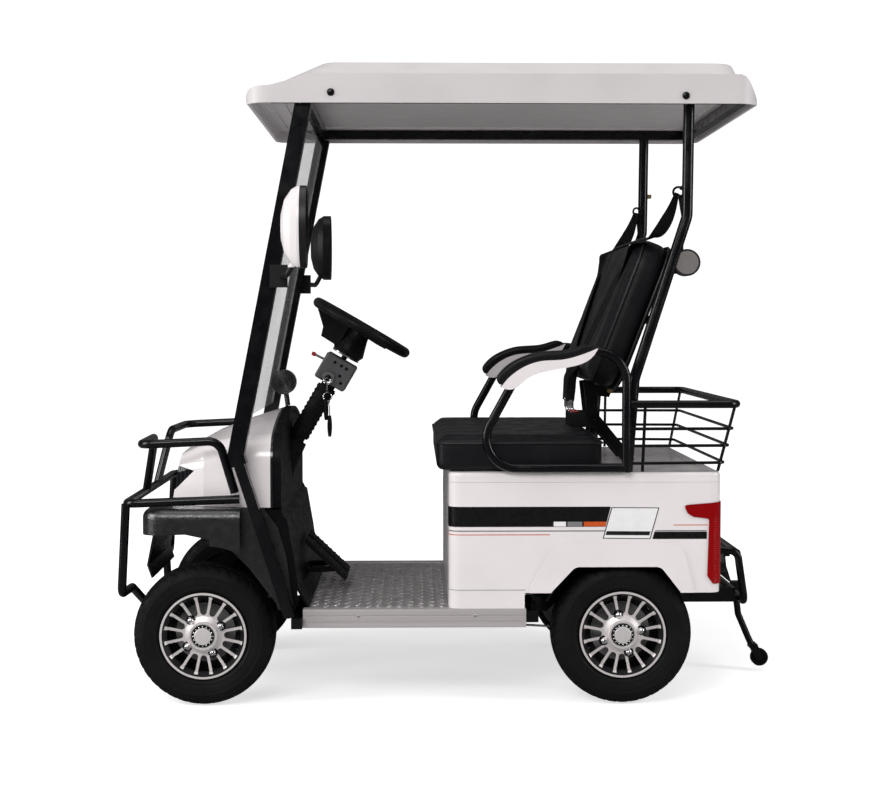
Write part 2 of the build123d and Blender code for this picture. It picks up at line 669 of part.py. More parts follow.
def lean_plane(x, z):
    """A plane on the seat back's front face, x to the cart's right, y up the lean."""
    up = Vector(sin(radians(SEAT_LEAN)), 0, cos(radians(SEAT_LEAN)))
    return Plane(origin=(x, 0, z), x_dir=(0, 1, 0), z_dir=Vector(0, 1, 0).cross(up))


def seat_back():
    height = (SEAT_BACK_HIGH_Z - SEAT_BACK_LOW[1]) / cos(radians(SEAT_LEAN)) - 12
    plane = lean_plane(*SEAT_BACK_LOW)
    face = plane * Pos(0, height / 2) * RectangleRounded(2 * SEAT_BACK_HALF_W, height, SEAT_BACK_CORNER)
    pad = extrude(face, SEAT_BACK_THICK)
    return fillet(pad.edges(), 14)


BRACKET_Y = (56.0, 64.0)
BRACKET_FOOT = [(1128, 590), (1024, 716), (1013, 812)]
BRACKET_STAY = [(1006, 790), (1060, 783), (1135, 985)]


def seat_back_bracket():
    """Two steel straps from the rear cover up under the seat back and along its rear face."""
    strap = prism_xz(ribbon(BRACKET_FOOT, 30), *BRACKET_Y) + prism_xz(ribbon(BRACKET_STAY, 26), *BRACKET_Y)
    strap = strap & block(900, 1200, 0, 100, DECK_Z + TOUCH, 1100)
    return pair(strap - seat_back() - rear_pillars())


ARM_LINE = [(1068, 640), (1068, 922), (799, 852), (665, 608), (1068, 608)]
ARM_R = 11.5
ARM_BEND = 75.0
TUBE_CLEAR = 0.5            # air between the tube and the mouldings clipped over it
PAD_TOP = [(752, 812), (742, 838), (777, 874), (838, 899), (915, 906), (966, 919), (993, 909)]
PAD_SEAM = [(993, 909), (946, 891), (905, 881), (850, 877), (800, 858), (752, 812)]
SHELL_FOOT = [(752, 812), (789, 811), (815, 832), (858, 850), (915, 861), (966, 877), (993, 909)]


def armrest_frames():
    loop = tube([(x, ARM_Y, z) for x, z in ARM_LINE], ARM_R, ARM_BEND)
    leg = rod((ARM_LINE[0][0], ARM_Y, DECK_Z + 1), (ARM_LINE[0][0], ARM_Y, ARM_LINE[0][1]), ARM_R)
    return pair(loop + leg)


def arm_form(outline, half_w):
    """A moulding whose side outline is two smooth curves that meet in points."""
    over, under = outline
    edges = [Spline(*over), Spline(*under)]
    plane = Plane(origin=(0, ARM_Y + half_w, 0), x_dir=(1, 0, 0), z_dir=(0, -1, 0))
    return extrude(plane * make_face(Wire(edges)), 2 * half_w)


def arm_tube_space():
    return tube([(x, ARM_Y, z) for x, z in ARM_LINE], ARM_R + TUBE_CLEAR, ARM_BEND)


def armrest_pads():
    return pair(arm_form((PAD_TOP, PAD_SEAM), 29) - arm_tube_space())


def armrest_shells():
    return pair(arm_form((PAD_SEAM[::-1], SHELL_FOOT[::-1]), 27) - arm_tube_space())


# ---------------------------------------------------------------- basket
BASKET_Y = 440.0
WIRES = (                   # height, rear X, half width
    (706, 1340, 430),
    (663, 1330, 424),
    (619, 1320, 416),
)


def basket_wire(x1, half, z, radius, bend):
    """A wire from one armrest's rear leg round the back to the other's."""
    front = ARM_LINE[0][0] + ARM_R + 0.1
    corners = [(front, -BASKET_Y, z), (x1, -half, z), (x1, half, z), (front, BASKET_Y, z)]
    return tube(corners, radius, bend)


def basket():
    cage = basket_wire(1350, BASKET_Y, 768, 10, 28)
    for z, x1, half in WIRES:
        cage += basket_wire(x1, half, z, 4, 20)
    cage += pair(rod((1344, 434, 768), (1306, 404, DECK_Z + 1), 4))
    cage += pair(rod((1116, BASKET_Y, 768), (1112, 420, DECK_Z + 1), 4))
    return cage


# ---------------------------------------------------------------- rear end
def rear_bumper():
    hoop = tube([(1313, 250, 376), (1388, 250, 370), (1408, 250, 236), (1408, 0, 236)], 10, 24)
    hoop = pair(hoop) + rod((1388, -250, 366), (1388, 250, 366), 9)
    plate = prism_xz(ribbon([(1371, 366), (1376, 316), (1390, 272)], 4), -150, 150)
    plate += pair(block(1371, 1390, 120, 136, 340, 366))
    return hoop + plate + pair(block(1392.2, 1404, 174, 196, 230, 244))


ANTI_TIP = Vector(1500, 0, 38)


def anti_tip_arm():
    arm = tube([(1430, 0, 240), (1440, 0, 160), (1470, 0, 90), (1482, 0, 66)], 9, 20)
    arm += block(1418.2, 1442, -14, 14, 222, 252)
    fork = prism_xz(ribbon([(1482, 74), (1500, 34)], 20), 13.5, 17.5)
    arm += pair(fork) + block(1470, 1490, -17.5, 17.5, 66, 78)
    arm -= rod((1500, -12.8, 38), (1500, 12.8, 38), 26)
    return arm + rod((1500, -20, 38), (1500, 20, 38), 5)


def anti_tip_wheel():
    wheel = Pos(*ANTI_TIP) * Rot(90, 0, 0) * (Cylinder(24, 24) - Cylinder(5 + FIT, 30))
    return fillet(wheel.edges().filter_by(GeomType.CIRCLE).sort_by(SortBy.RADIUS)[-2:], 4)


def brake_rods():
    line = rod((752, 270, 184), (1036, 270, 168), 3)
    hanger = block(744, 760, 262, 278, 178, 208)
    lever = block(1016, 1038, 262, 278, 150, 174)
    return pair(line + hanger + lever)


# ---------------------------------------------------------------- belts
BELT_RING = (1176.0, 1302.0)
BELT_Y = (348.0, 396.0)
BELT_THICK = 2.5


def seat_belts():
    """Straps from the rings on the rear pillars over the seat back's top corners and down its front."""
    low = (SEAT_BACK_LOW[0] + 4, SEAT_BACK_LOW[1] + 18)
    rise = SEAT_BACK_HIGH_Z - 14 - low[1]
    slope = sin(radians(SEAT_LEAN)) / cos(radians(SEAT_LEAN))
    off = 5.0
    face_low = (low[0] - off, low[1])
    face_high = (low[0] - off + rise * slope, low[1] + rise)
    over = (face_high[0] + 14, face_high[1] + 26)
    return pair(prism_xz(ribbon([BELT_RING, over, face_high, face_low], BELT_THICK), *BELT_Y))


def belt_retractors():
    reel = Pos(1222, 398, 1124) * Rot(90, 0, 0) * Cylinder(34, 40)
    bracket = block(1180, 1222, 394, 398, 1096, 1150)
    return pair(reel + bracket) - rear_pillars()


# ---------------------------------------------------------------- write the pieces
ONE_BODY = (
    frame_rails, frame_cross_members, frame_outriggers, floor_plate, front_axle, rear_axle, drive_motor,
    shock_absorbers, nose_cowl, headlamps, front_fender, dash_panel, pedals, front_pillars, windshield,
    front_guard, dash_horn, steering_column, switch_box,
    roof_shell, roof_frame, rear_pillars, mirror_housings, mirror_glasses, rear_body, rear_cover, tail_lamps,
    wheel_tubs, battery_pack, seat_cushion, seat_back, seat_back_bracket, armrest_frames, armrest_shells,
    armrest_pads, basket, rear_bumper, anti_tip_arm, brake_rods, seat_belts, belt_retractors, steering_wheel,
    tie_rod, anti_tip_wheel,
)
for make in ONE_BODY:
    save(make.__name__, make())
save("side_sills", side_sill())
save("knuckle_left", mirrored(knuckle()))
save("knuckle_right", knuckle())
TYRE, RIM = tyre(), wheel_rim()
for end, axle_x in (("front", 0.0), ("rear", WHEELBASE)):
    for side, hand in (("left", -1), ("right", 1)):
        save(f"tyre_{end}_{side}", at_wheel(TYRE, axle_x, hand))
        save(f"rim_{end}_{side}", at_wheel(RIM, axle_x, hand))
print(len(NODES), "nodes")
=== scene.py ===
import bmesh
import bpy
import numpy as np
from math import cos, pi, radians, sin, tau
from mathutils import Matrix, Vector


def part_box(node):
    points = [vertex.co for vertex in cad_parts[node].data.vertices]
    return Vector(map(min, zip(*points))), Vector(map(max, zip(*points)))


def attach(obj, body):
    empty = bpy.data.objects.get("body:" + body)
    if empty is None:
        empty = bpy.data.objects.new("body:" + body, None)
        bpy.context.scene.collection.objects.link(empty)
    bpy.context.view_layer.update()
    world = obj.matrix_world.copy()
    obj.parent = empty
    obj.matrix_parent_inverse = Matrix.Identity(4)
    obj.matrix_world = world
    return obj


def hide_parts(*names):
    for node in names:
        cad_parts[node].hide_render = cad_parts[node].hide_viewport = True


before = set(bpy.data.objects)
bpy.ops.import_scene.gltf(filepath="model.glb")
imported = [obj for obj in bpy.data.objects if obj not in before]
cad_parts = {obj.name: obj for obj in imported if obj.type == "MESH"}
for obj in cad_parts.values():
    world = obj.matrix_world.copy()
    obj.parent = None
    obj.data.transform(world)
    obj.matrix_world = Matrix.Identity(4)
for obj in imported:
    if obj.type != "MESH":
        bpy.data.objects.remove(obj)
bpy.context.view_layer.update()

# ---------------------------------------------------------------- viewpoint
# The cart stands side on and is seen from its left, at chest height and four and a half metres off,
# through a mildly long lens that looks a little down.
PICTURE_WIDTH = 894
FOCAL_IN_PIXELS = 1669.0
LOOK_DOWN = 2.847
TURN = 1.131

camera = bpy.data.objects.new("viewpoint", bpy.data.cameras.new("viewpoint"))
bpy.context.scene.collection.objects.link(camera)
camera.location = (-0.1208, -4.616, 0.977)
camera.rotation_euler = (radians(90 - LOOK_DOWN), 0, radians(-TURN))
camera.data.lens = camera.data.sensor_width * FOCAL_IN_PIXELS / PICTURE_WIDTH
bpy.context.scene.camera = camera


# ---------------------------------------------------------------- studio
# A white floor that runs back out of sight, a wide overhead softbox, one softbox on the viewer's side and a
# strip on each end that draws the long highlights down the tubes.
FLOOR_SIZE = 60.0
FLOOR_DROP = 0.0005
FLOOR_FADE = (1.1, 3.4)     # metres from the cart between which the floor starts to glow of itself
AIR = (0.11, 1.1)           # the white air's strength for lighting, and as seen behind the cart
LIGHTS = (  # name, place, aims at, width, height, watts
    ("overhead", (0.2, -0.6, 4.4), (0.0, 0.0, 0.6), 4.2, 3.0, 80.0),
    ("viewer_side", (-2.4, -6.4, 4.7), (0.1, 0.0, 0.6), 4.6, 2.0, 262.0),
    ("front_strip", (-4.2, -1.4, 1.8), (-0.3, 0.0, 0.8), 1.6, 2.6, 105.0),
    ("rear_strip", (4.0, -1.8, 1.9), (0.5, 0.0, 0.8), 1.0, 2.6, 70.0),
)


class Signal:
    """A value on its way through a finish. Arithmetic and comparisons on it add the Math nodes for them."""

    def __init__(self, finish, socket):
        self.finish = finish
        self.socket = socket

    def out(self, name):
        return Signal(self.finish, self.socket.node.outputs[name])

    def math(self, operation, other=None, flipped=False):
        pair = (other, self) if flipped else (self, other)
        sockets = {i: value for i, value in enumerate(pair) if value is not None}
        return self.finish.node("Math", {"operation": operation}, sockets)

    def __add__(self, other):
        return self.math("ADD", other)

    __radd__ = __add__

    def __sub__(self, other):
        return self.math("SUBTRACT", other)

    def __rsub__(self, other):
        return self.math("SUBTRACT", other, True)

    def __mul__(self, other):
        return self.math("MULTIPLY", other)

    __rmul__ = __mul__

    def __truediv__(self, other):
        return self.math("DIVIDE", other)

    def __lt__(self, other):
        return self.math("LESS_THAN", other)

    def __gt__(self, other):
        return self.math("GREATER_THAN", other)

    def __pow__(self, other):
        return self.math("POWER", other)

    def __abs__(self):
        return self.math("ABSOLUTE")

    def sine(self):
        return self.math("SINE")

    def either(self, other):
        return self.math("MAXIMUM", other)

    def within(self, limits):
        """One where the value, in metres, lies between two limits in millimetres."""
        return (self > limits[0] / 1000) * (self < limits[1] / 1000)

    def ramp(self, low, high, start=0.0, end=1.0):
        """start below low, end above high, and a smooth slope between them."""
        values = {"Value": self, "From Min": low, "From Max": high, "To Min": start, "To Max": end}
        return self.finish.node("MapRange", {"interpolation_type": "SMOOTHSTEP"}, values)


class Finish:
    """One material: a Principled shader with its constants, and the nodes that vary it over the surface."""

    def __init__(self, name, colour, roughness, **constants):
        self.material = bpy.data.materials.new(name)
        self.material.use_nodes = True
        self.tree = self.material.node_tree
        self.tree.nodes.clear()
        self.shader = self.tree.nodes.new("ShaderNodeBsdfPrincipled")
        output = self.tree.nodes.new("ShaderNodeOutputMaterial")
        self.tree.links.new(self.shader.outputs[0], output.inputs[0])
        self.feed("Base Color", (*colour, 1.0))
        self.feed("Roughness", roughness)
        for word, value in constants.items():
            self.feed(word.replace("_", " ").title().replace("Ior", "IOR"), value)
        self.place = self.node("TexCoord", output="Object")

    def node(self, kind, settings=None, sockets=None, output=0):
        """Adds any node: its settings first, then the values or signals of its sockets."""
        made = self.tree.nodes.new("ShaderNode" + kind)
        for word, value in (settings or {}).items():
            setattr(made, word, value)
        for socket, value in (sockets or {}).items():
            self.join(made.inputs[socket], value)
        return Signal(self, made.outputs[output])

    def join(self, socket, value):
        if isinstance(value, Signal):
            self.tree.links.new(value.socket, socket)
        else:
            socket.default_value = value

    def feed(self, socket, value):
        self.join(self.shader.inputs[socket], value)

    def axes(self):
        split = self.node("SeparateXYZ", sockets={0: self.place})
        return split, split.out("Y"), split.out("Z")

    def about(self, back, height):
        """Back and up from an axis that crosses the cart, the distance from it, and that from the middle plane.
        The axis is given in millimetres behind the front axle and above the ground."""
        x, y, z = self.axes()
        across = x - (back - FRAME_SHIFT) / 1000
        up = z - height / 1000
        return across, up, (across * across + up * up) ** 0.5, abs(y)

    def cells(self, scale):
        return self.node("TexVoronoi", sockets={"Vector": self.place, "Scale": scale})

    def noise(self, scale, detail=2.0, at=None):
        return self.node("TexNoise", sockets={"Vector": at or self.place, "Scale": scale, "Detail": detail})

    def stretched(self, x, y, z):
        return self.node("Mapping", sockets={"Vector": self.place, "Scale": (x, y, z)})

    def mix(self, one, two, share):
        colours = {n: c if isinstance(c, Signal) else (*c, 1.0) for n, c in ((6, one), (7, two))}
        return self.node("Mix", {"data_type": "RGBA"}, {0: share, **colours}, output=2)

    def tint(self, one, two, share):
        self.feed("Base Color", self.mix(one, two, share))

    def dull(self, low, high, scale, detail):
        """Roughness that wanders between low and high, in patches of a noise."""
        self.feed("Roughness", self.noise(scale, detail).ramp(0.3, 0.7, low, high))

    def bump(self, height, depth, strength=1.0):
        sockets = {"Height": height, "Distance": depth, "Strength": strength}
        self.feed("Normal", self.node("Bump", sockets=sockets))


def studio_floor():
    """A square of floor. Near the cart the lights whiten it; further off it glows white of itself. To
    reflections it is a dull grey, so that black paint stays black."""
    finish = Finish("studio_white", (0.80, 0.80, 0.80), 0.9, specular_ior_level=0.0, emission_strength=1.0)
    x, y = finish.axes()[:2]
    away = ((x * x + y * y) ** 0.5).ramp(*FLOOR_FADE)
    seen = finish.node("LightPath")
    white = finish.mix((0.64, 0.64, 0.64), (1.0, 1.0, 1.0), away)
    finish.feed("Emission Color", finish.mix((0.06, 0.06, 0.06), white, seen))
    finish.tint((0.80, 0.80, 0.80), (0.16, 0.16, 0.16), seen.out("Is Glossy Ray"))
    mesh = bpy.data.meshes.new("studio_floor")
    half = FLOOR_SIZE / 2
    corners = [(x * half, y * half, -FLOOR_DROP) for x, y in ((-1, -1), (1, -1), (1, 1), (-1, 1))]
    mesh.from_pydata(corners, [], [(0, 1, 2, 3)])
    mesh.materials.append(finish.material)
    floor = bpy.data.objects.new("studio_floor", mesh)
    bpy.context.scene.collection.objects.link(floor)


def aim(thing, place, target):
    thing.location = place
    way = Vector(target) - Vector(place)
    thing.rotation_euler = way.to_track_quat("-Z", "Y").to_euler()


def studio_lights():
    for name, place, target, width, height, watts in LIGHTS:
        lamp = bpy.data.lights.new(name, "AREA")
        lamp.shape = "RECTANGLE"
        lamp.size = width
        lamp.size_y = height
        lamp.energy = watts
        holder = bpy.data.objects.new(name, lamp)
        bpy.context.scene.collection.objects.link(holder)
        aim(holder, place, target)


def studio_air():
    """White behind the cart, and a dim light from all round for the shadows."""
    world = bpy.data.worlds.new("studio")
    bpy.context.scene.world = world
    world.use_nodes = True
    nodes = world.node_tree.nodes
    links = world.node_tree.links
    path = nodes.new("ShaderNodeLightPath")
    back = nodes["Background"]
    strength = nodes.new("ShaderNodeMapRange")
    strength.inputs["To Min"].default_value, strength.inputs["To Max"].default_value = AIR
    links.new(path.outputs["Is Camera Ray"], strength.inputs["Value"])
    links.new(strength.outputs[0], back.inputs["Strength"])
    back.inputs["Color"].default_value = (1, 1, 1, 1)


studio_floor()
studio_lights()
studio_air()
bpy.context.scene.view_settings.view_transform = "Standard"


# ---------------------------------------------------------------- chassis
# The ladder frame, axles and brackets are welded steel under gloss black powder coat, which has a faint
# orange peel and a little grey dust in patches. The steered parts and rods are zinc plated.
def dress(finish, *nodes):
    """Gives carried-over pieces of the frame a finish."""
    for name in nodes:
        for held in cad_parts[name].material_slots:
            held.material = finish.material


def powder_coat():
    finish = Finish("gloss_powder_coat", (0.005, 0.005, 0.006), 0.22, specular_ior_level=0.3)
    dust = finish.noise(7.0, 5.0).ramp(0.45, 0.75)
    finish.tint((0.002, 0.002, 0.003), (0.005, 0.005, 0.006), dust)
    finish.feed("Roughness", finish.noise(24.0, 4.0).ramp(0.35, 0.7, 0.16, 0.30))
    finish.bump(finish.noise(260.0), 0.0004, 0.3)
    return finish


def painted_casting():
    finish = Finish("painted_casting", (0.05, 0.05, 0.052), 0.55)
    finish.tint((0.03, 0.03, 0.032), (0.075, 0.075, 0.078), finish.noise(60.0, 5.0))
    finish.bump(finish.noise(420.0, 4.0), 0.0006, 0.6)
    return finish


def zinc_plate():
    finish = Finish("zinc_plate", (0.62, 0.61, 0.58), 0.3, metallic=1.0)
    finish.feed("Roughness", finish.noise(90.0, 4.0).ramp(0.3, 0.75, 0.2, 0.42))
    finish.tint((0.50, 0.50, 0.49), (0.68, 0.67, 0.63), finish.noise(30.0, 3.0))
    return finish


COATED = powder_coat()
CASTING = painted_casting()
ZINC = zinc_plate()
dress(COATED, "frame_rails", "frame_cross_members", "frame_outriggers", "front_axle", "rear_axle")
dress(COATED, "shock_absorbers", "seat_back_bracket")
dress(CASTING, "drive_motor")
dress(ZINC, "knuckle_left", "knuckle_right", "tie_rod", "brake_rods")


# ---------------------------------------------------------------- floor plate
# A sheet of grey diamond plate lies on the frame between the sills. Its raised lens shapes stand in rows that
# lean left and right by turns, a millimetre proud.
FRAME_SHIFT = 655.8      # millimetres from the front axle back to the model's own origin
LOZENGE = (11.5, 3.4, 1.7)   # half length, half width, height
LOZENGE_PITCH = 27.0
LOZENGE_EDGES = (18.0, 14.0)   # plain margins at the plate's front and rear, and at its left and right


def spot(points):
    """Millimetres back from the front axle, to the cart's right and up, as metres in the model's frame."""
    return (np.asarray(points, float) - (FRAME_SHIFT, 0.0, 0.0)) / 1000.0


class Form:
    """Points and faces of a piece while it is worked out. Forms add up, and each can be copied many times."""

    def __init__(self, points, faces):
        self.points = np.asarray(points, float).reshape(-1, 3)
        self.faces = [np.asarray(f, int) for f in faces if len(f)]

    def __add__(self, other):
        step = len(self.points)
        return Form(np.vstack([self.points, other.points]), self.faces + [f + step for f in other.faces])

    def copies(self, matrices, places):
        """Point times each 3 by 3 matrix plus its place, for all the copies at once."""
        count = len(places)
        turned = np.einsum("kij,nj->kni", np.asarray(matrices, float), self.points)
        points = turned + np.asarray(places, float)[:, None]
        steps = np.arange(count) * len(self.points)
        faces = [(f[None] + steps[:, None, None]).reshape(-1, f.shape[1]) for f in self.faces]
        return Form(points, faces)

    def at(self, places):
        """A copy at each place, not turned."""
        return self.copies([np.eye(3)] * len(places), places)

    def towards(self, direction, places):
        """A copy at each place, with the form's own +Z laid along the direction."""
        return self.copies([facing(direction)] * len(places), places)


def net(grid, joined=False):
    """Quads between the neighbours of a (rows, columns, 3) grid, whose rows are closed loops. The first and
    last rows are joined to each other, or each gets a flat face."""
    rows, columns = grid.shape[:2]
    here = np.arange(rows * columns).reshape(rows, columns)
    caps = [] if joined else [here[:1, ::-1], here[-1:]]
    if joined:
        here = np.vstack([here, here[:1]])
    beside = np.roll(here, -1, axis=1)
    quads = np.stack([here[:-1], beside[:-1], beside[1:], here[1:]], axis=-1).reshape(-1, 4)
    return Form(grid, [quads] + caps)


def circle(count):
    """That many equal steps round a full turn, as one row."""
    return np.linspace(0, tau, count, endpoint=False)[None]


def spun(angle):
    """Turns about the upright axis by each angle, in radians, as 3 by 3 matrices."""
    c, s, nil = np.cos(angle), np.sin(angle), np.zeros_like(angle)
    rows = [c, -s, nil], [s, c, nil], [nil, nil, nil + 1]
    return np.stack([np.stack(row, -1) for row in rows], -2)


def make(name, body, parts, sharp=35.0):
    """One object from (form in millimetres, finish) pairs, with its edges smooth below the sharp angle."""
    whole = sum((form for form, finish in parts[1:]), parts[0][0])
    sizes = np.concatenate([np.full(len(f), f.shape[1]) for f in whole.faces])
    corners = np.concatenate([f.reshape(-1) for f in whole.faces])
    mesh = bpy.data.meshes.new(name)
    mesh.vertices.add(len(whole.points))
    mesh.vertices.foreach_set("co", spot(whole.points).reshape(-1))
    mesh.loops.add(len(corners))
    mesh.loops.foreach_set("vertex_index", corners)
    mesh.polygons.add(len(sizes))
    mesh.polygons.foreach_set("loop_start", np.concatenate([[0], np.cumsum(sizes)[:-1]]))
    mesh.polygons.foreach_set("loop_total", sizes)
    mesh.polygons.foreach_set("material_index", np.repeat(
        np.arange(len(parts)), [sum(len(f) for f in form.faces) for form, finish in parts]))
    for form, finish in parts:
        mesh.materials.append(finish.material)
    mesh.update(calc_edges=True)
    mesh.validate()
    shell = bmesh.new()
    shell.from_mesh(mesh)
    bmesh.ops.recalc_face_normals(shell, faces=shell.faces)
    shell.to_mesh(mesh)
    shell.free()
    mesh.shade_smooth()
    mesh.set_sharp_from_angle(angle=radians(sharp))
    piece = bpy.data.objects.new(name, mesh)
    bpy.context.scene.collection.objects.link(piece)
    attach(piece, body)
    return piece


def lens():
    """Rings of an ellipse that shrink as they rise, closed by a small flat top."""
    half_length, half_width, height = LOZENGE
    share = np.array([1.0, 0.94, 0.72, 0.34])[:, None]
    rise = np.array([-0.3, 0.55, 1.0, 1.0])[:, None] * height
    angle = circle(10)
    x = share * half_length * np.cos(angle)
    y = share * half_width * np.sin(angle) * (0.55 + 0.45 * np.abs(np.sin(angle)))
    return net(np.stack([x, y, rise + 0 * angle], -1))


def floor_lozenges():
    """A lens at each crossing of a square grid, leaning 45 degrees left and right by turns."""
    low, high = (np.array(corner) * 1000 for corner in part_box("floor_plate"))
    first, last = LOZENGE_EDGES
    x = np.arange(low[0] + FRAME_SHIFT + first, high[0] + FRAME_SHIFT - last, LOZENGE_PITCH)
    y = np.arange(low[1] + first, high[1] - last, LOZENGE_PITCH)
    row, column = np.meshgrid(np.arange(len(x)), np.arange(len(y)), indexing="ij")
    places = np.stack([x[row], y[column], np.full(row.shape, high[2])], -1).reshape(-1, 3)
    lean = np.where((row + column) % 2, radians(45), radians(-45)).reshape(-1)
    return make("floor_lozenges", "chassis", [(lens().copies(spun(lean), places), tread_plate())])


def tread_plate():
    finish = Finish("grey_tread_plate", (0.62, 0.59, 0.59), 0.36, metallic=0.68)
    scuff = finish.noise(46.0, 6.0).ramp(0.42, 0.72)
    finish.tint((0.52, 0.49, 0.495), (0.74, 0.70, 0.705), scuff)
    finish.dull(0.26, 0.44, 160.0, 3.0)
    finish.bump(finish.noise(700.0, 2.0), 0.0002, 0.3)
    return finish


floor_lozenges()
dress(tread_plate(), "floor_plate")


# ---------------------------------------------------------------- side sills
# A drawn aluminium section runs along each side of the floor, with grooves along it and fine lines from the
# die. Two small zinc screws hold each one.
SCREW_X = (394.5, 690.0)
SILL_FACE = 430.0
SILL_SCREW_Z = 233.0
SILL_BANDS = ((204.5, 218.6), (219.4, 231.8), (234.2, 240.6), (241.4, 249.3))   # the flats between the grooves


def drawn_aluminium():
    finish = Finish("drawn_aluminium", (0.60, 0.56, 0.56), 0.42, metallic=0.55)
    lines = finish.noise(8.0, 3.0, at=finish.stretched(0.05, 6.0, 60.0))
    finish.feed("Roughness", lines.ramp(0.3, 0.7, 0.36, 0.48))
    finish.tint((0.55, 0.51, 0.51), (0.66, 0.61, 0.61), lines.ramp(0.3, 0.7))
    finish.bump(lines, 0.0001, 0.2)
    return finish


def sill_flats():
    """Long thin bands with a rounded edge, 0.7 mm proud, drawn from end to end of the sill's outer face."""
    low, high = (np.array(corner) * 1000 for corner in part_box("side_sills"))
    ends = np.array([low[0] + 0.5, high[0] - 0.5]) + FRAME_SHIFT
    bands = []
    for z0, z1 in SILL_BANDS:
        section = np.array([(0.3, z0), (-0.5, z0), (-0.7, z0 + 0.3), (-0.7, z1 - 0.3), (-0.5, z1), (0.3, z1)])
        rows = [np.column_stack([np.full(6, x), section[:, 0] - SILL_FACE, section[:, 1]]) for x in ends]
        bands.append(net(np.stack(rows)))
    return sum(bands[1:], bands[0])


def lathe(profile, around=48, joined=False):
    """Each (radius, height) of a profile as a ring about +Z, closed by flat ends or, joined, into a hollow
    ring."""
    profile = np.asarray(profile, float)
    radius, height = profile[:, 0][:, None], profile[:, 1][:, None]
    angle = circle(around)
    return net(np.stack([radius * np.cos(angle), radius * np.sin(angle), height + 0 * angle], -1), joined)


def dome(radius, height, rows=6, around=20):
    """A button head along +Z: rings of radius r cos t at height h sin t, over a short straight edge."""
    t = np.linspace(0, pi / 2 * 0.96, rows)
    ring = np.concatenate([[radius], radius * np.cos(t)])
    rise = np.concatenate([[0], height * (0.3 + 0.7 * np.sin(t))])
    return lathe(np.column_stack([ring, rise]), around)


def unit(vectors):
    """Each vector along the last axis, at length one."""
    return np.asarray(vectors, float) / np.linalg.norm(vectors, axis=-1, keepdims=True)


def facing(direction):
    """The 3 by 3 matrix that lays a form's own +Z along a direction."""
    ahead = unit(direction)
    side = unit(np.cross((0, 0, 1) if abs(ahead[2]) < 0.9 else (1, 0, 0), ahead))
    return np.stack([side, np.cross(ahead, side), ahead], -1)


def both_sides(form):
    """The form and its mirror image on the other side of the cart, with the faces turned back outwards."""
    return form + Form(form.points * (1, -1, 1), [f[:, ::-1] for f in form.faces])


OUT = (0, -1, 0)         # outwards, on the left side
sill_screws = dome(3.6, 2.4).towards(OUT, [(x, -SILL_FACE, SILL_SCREW_Z) for x in SCREW_X])
make("sill_screws", "chassis", [(both_sides(sill_screws), ZINC)])
ALUMINIUM = drawn_aluminium()
make("sill_flats", "chassis", [(both_sides(sill_flats()), ALUMINIUM)], sharp=30.0)
dress(ALUMINIUM, "side_sills")


# ---------------------------------------------------------------- tyres
# Four low tubeless tyres of black rubber, with two grooves round the tread, slanting shoulder blocks and fine
# mould rings on the walls. Each is one moulding, revolved, with the blocks cut down into it.
WHEELBASE = 1065.0
TRACK_HALF = 355.0
AXLE_Z = 180.0
WHEELS = (  # end, side, distance back, side of the middle
    ("front", "left", 0.0, -1),
    ("front", "right", 0.0, 1),
    ("rear", "left", WHEELBASE, -1),
    ("rear", "right", WHEELBASE, 1),
)
TYRE_WALL = [  # radius, distance from the wheel's middle plane
    (110.3, 48.0), (112.0, 53.5), (116.0, 57.5), (121.0, 60.6), (122.2, 61.9), (124.0, 62.0), (125.2, 61.6),
    (132.0, 63.6), (141.0, 64.5), (148.0, 64.3), (149.0, 65.0), (151.0, 65.0), (152.0, 64.0), (160.0, 61.6),
    (166.5, 58.2), (171.5, 54.0), (174.8, 49.6), (176.0, 46.0),
]
TREAD_HALF = [44.0, 38.0, 32.0, 27.5, 26.0, 24.5, 20.0, 18.0, 16.8, 13.2, 12.0, 9.0, 5.0, 0.0]
TREAD_R, TREAD_DROP = 180.0, 3.6         # at the middle of the tread, and how much lower its edges are
TYRE_BACK = [(104.0, -46.0), (104.0, 46.0)]
GROOVE_MIDDLE, GROOVE_HALF, GROOVE_DEPTH = 15.0, 2.4, 4.2
GROOVE_FROM, GAP_FROM = 170.0, 163.0     # no groove or gap is cut where the radius is under this
GAP_SHARE, GAP_INNER, GAP_DEPTH = 0.2, 25.5, 3.4       # of the run from block to block; inner end; depth
GAP_SLANT = 60.0         # across this distance a gap leans by one block
BLOCKS = 38
AROUND = 228


def tyre_form():
    """The half profile mirrored, then revolved about Z. A point's radius drops where the two grooves or the
    gaps between shoulder blocks are; the gaps slant with the distance from the middle."""
    tread = [(TREAD_R - TREAD_DROP * (w / TREAD_HALF[0]) ** 2.4, w) for w in TREAD_HALF]
    half = np.array(TYRE_WALL + tread)
    profile = np.vstack([half, half[-2::-1] * (1, -1), TYRE_BACK])
    radius, width = profile[:, 0][:, None], profile[:, 1][:, None]
    angle = circle(AROUND)
    groove = (np.abs(np.abs(width) - GROOVE_MIDDLE) < GROOVE_HALF) & (radius > GROOVE_FROM)
    phase = (angle * BLOCKS / tau + np.sign(width) * 0.25 + np.abs(width) / GAP_SLANT) % 1.0
    gap = (phase < GAP_SHARE) & (np.abs(width) > GAP_INNER) & (radius > GAP_FROM)
    radius = radius - (GROOVE_DEPTH * groove + GAP_DEPTH * gap)
    return net(np.stack([radius * np.cos(angle), radius * np.sin(angle), width + 0 * angle], -1), True)


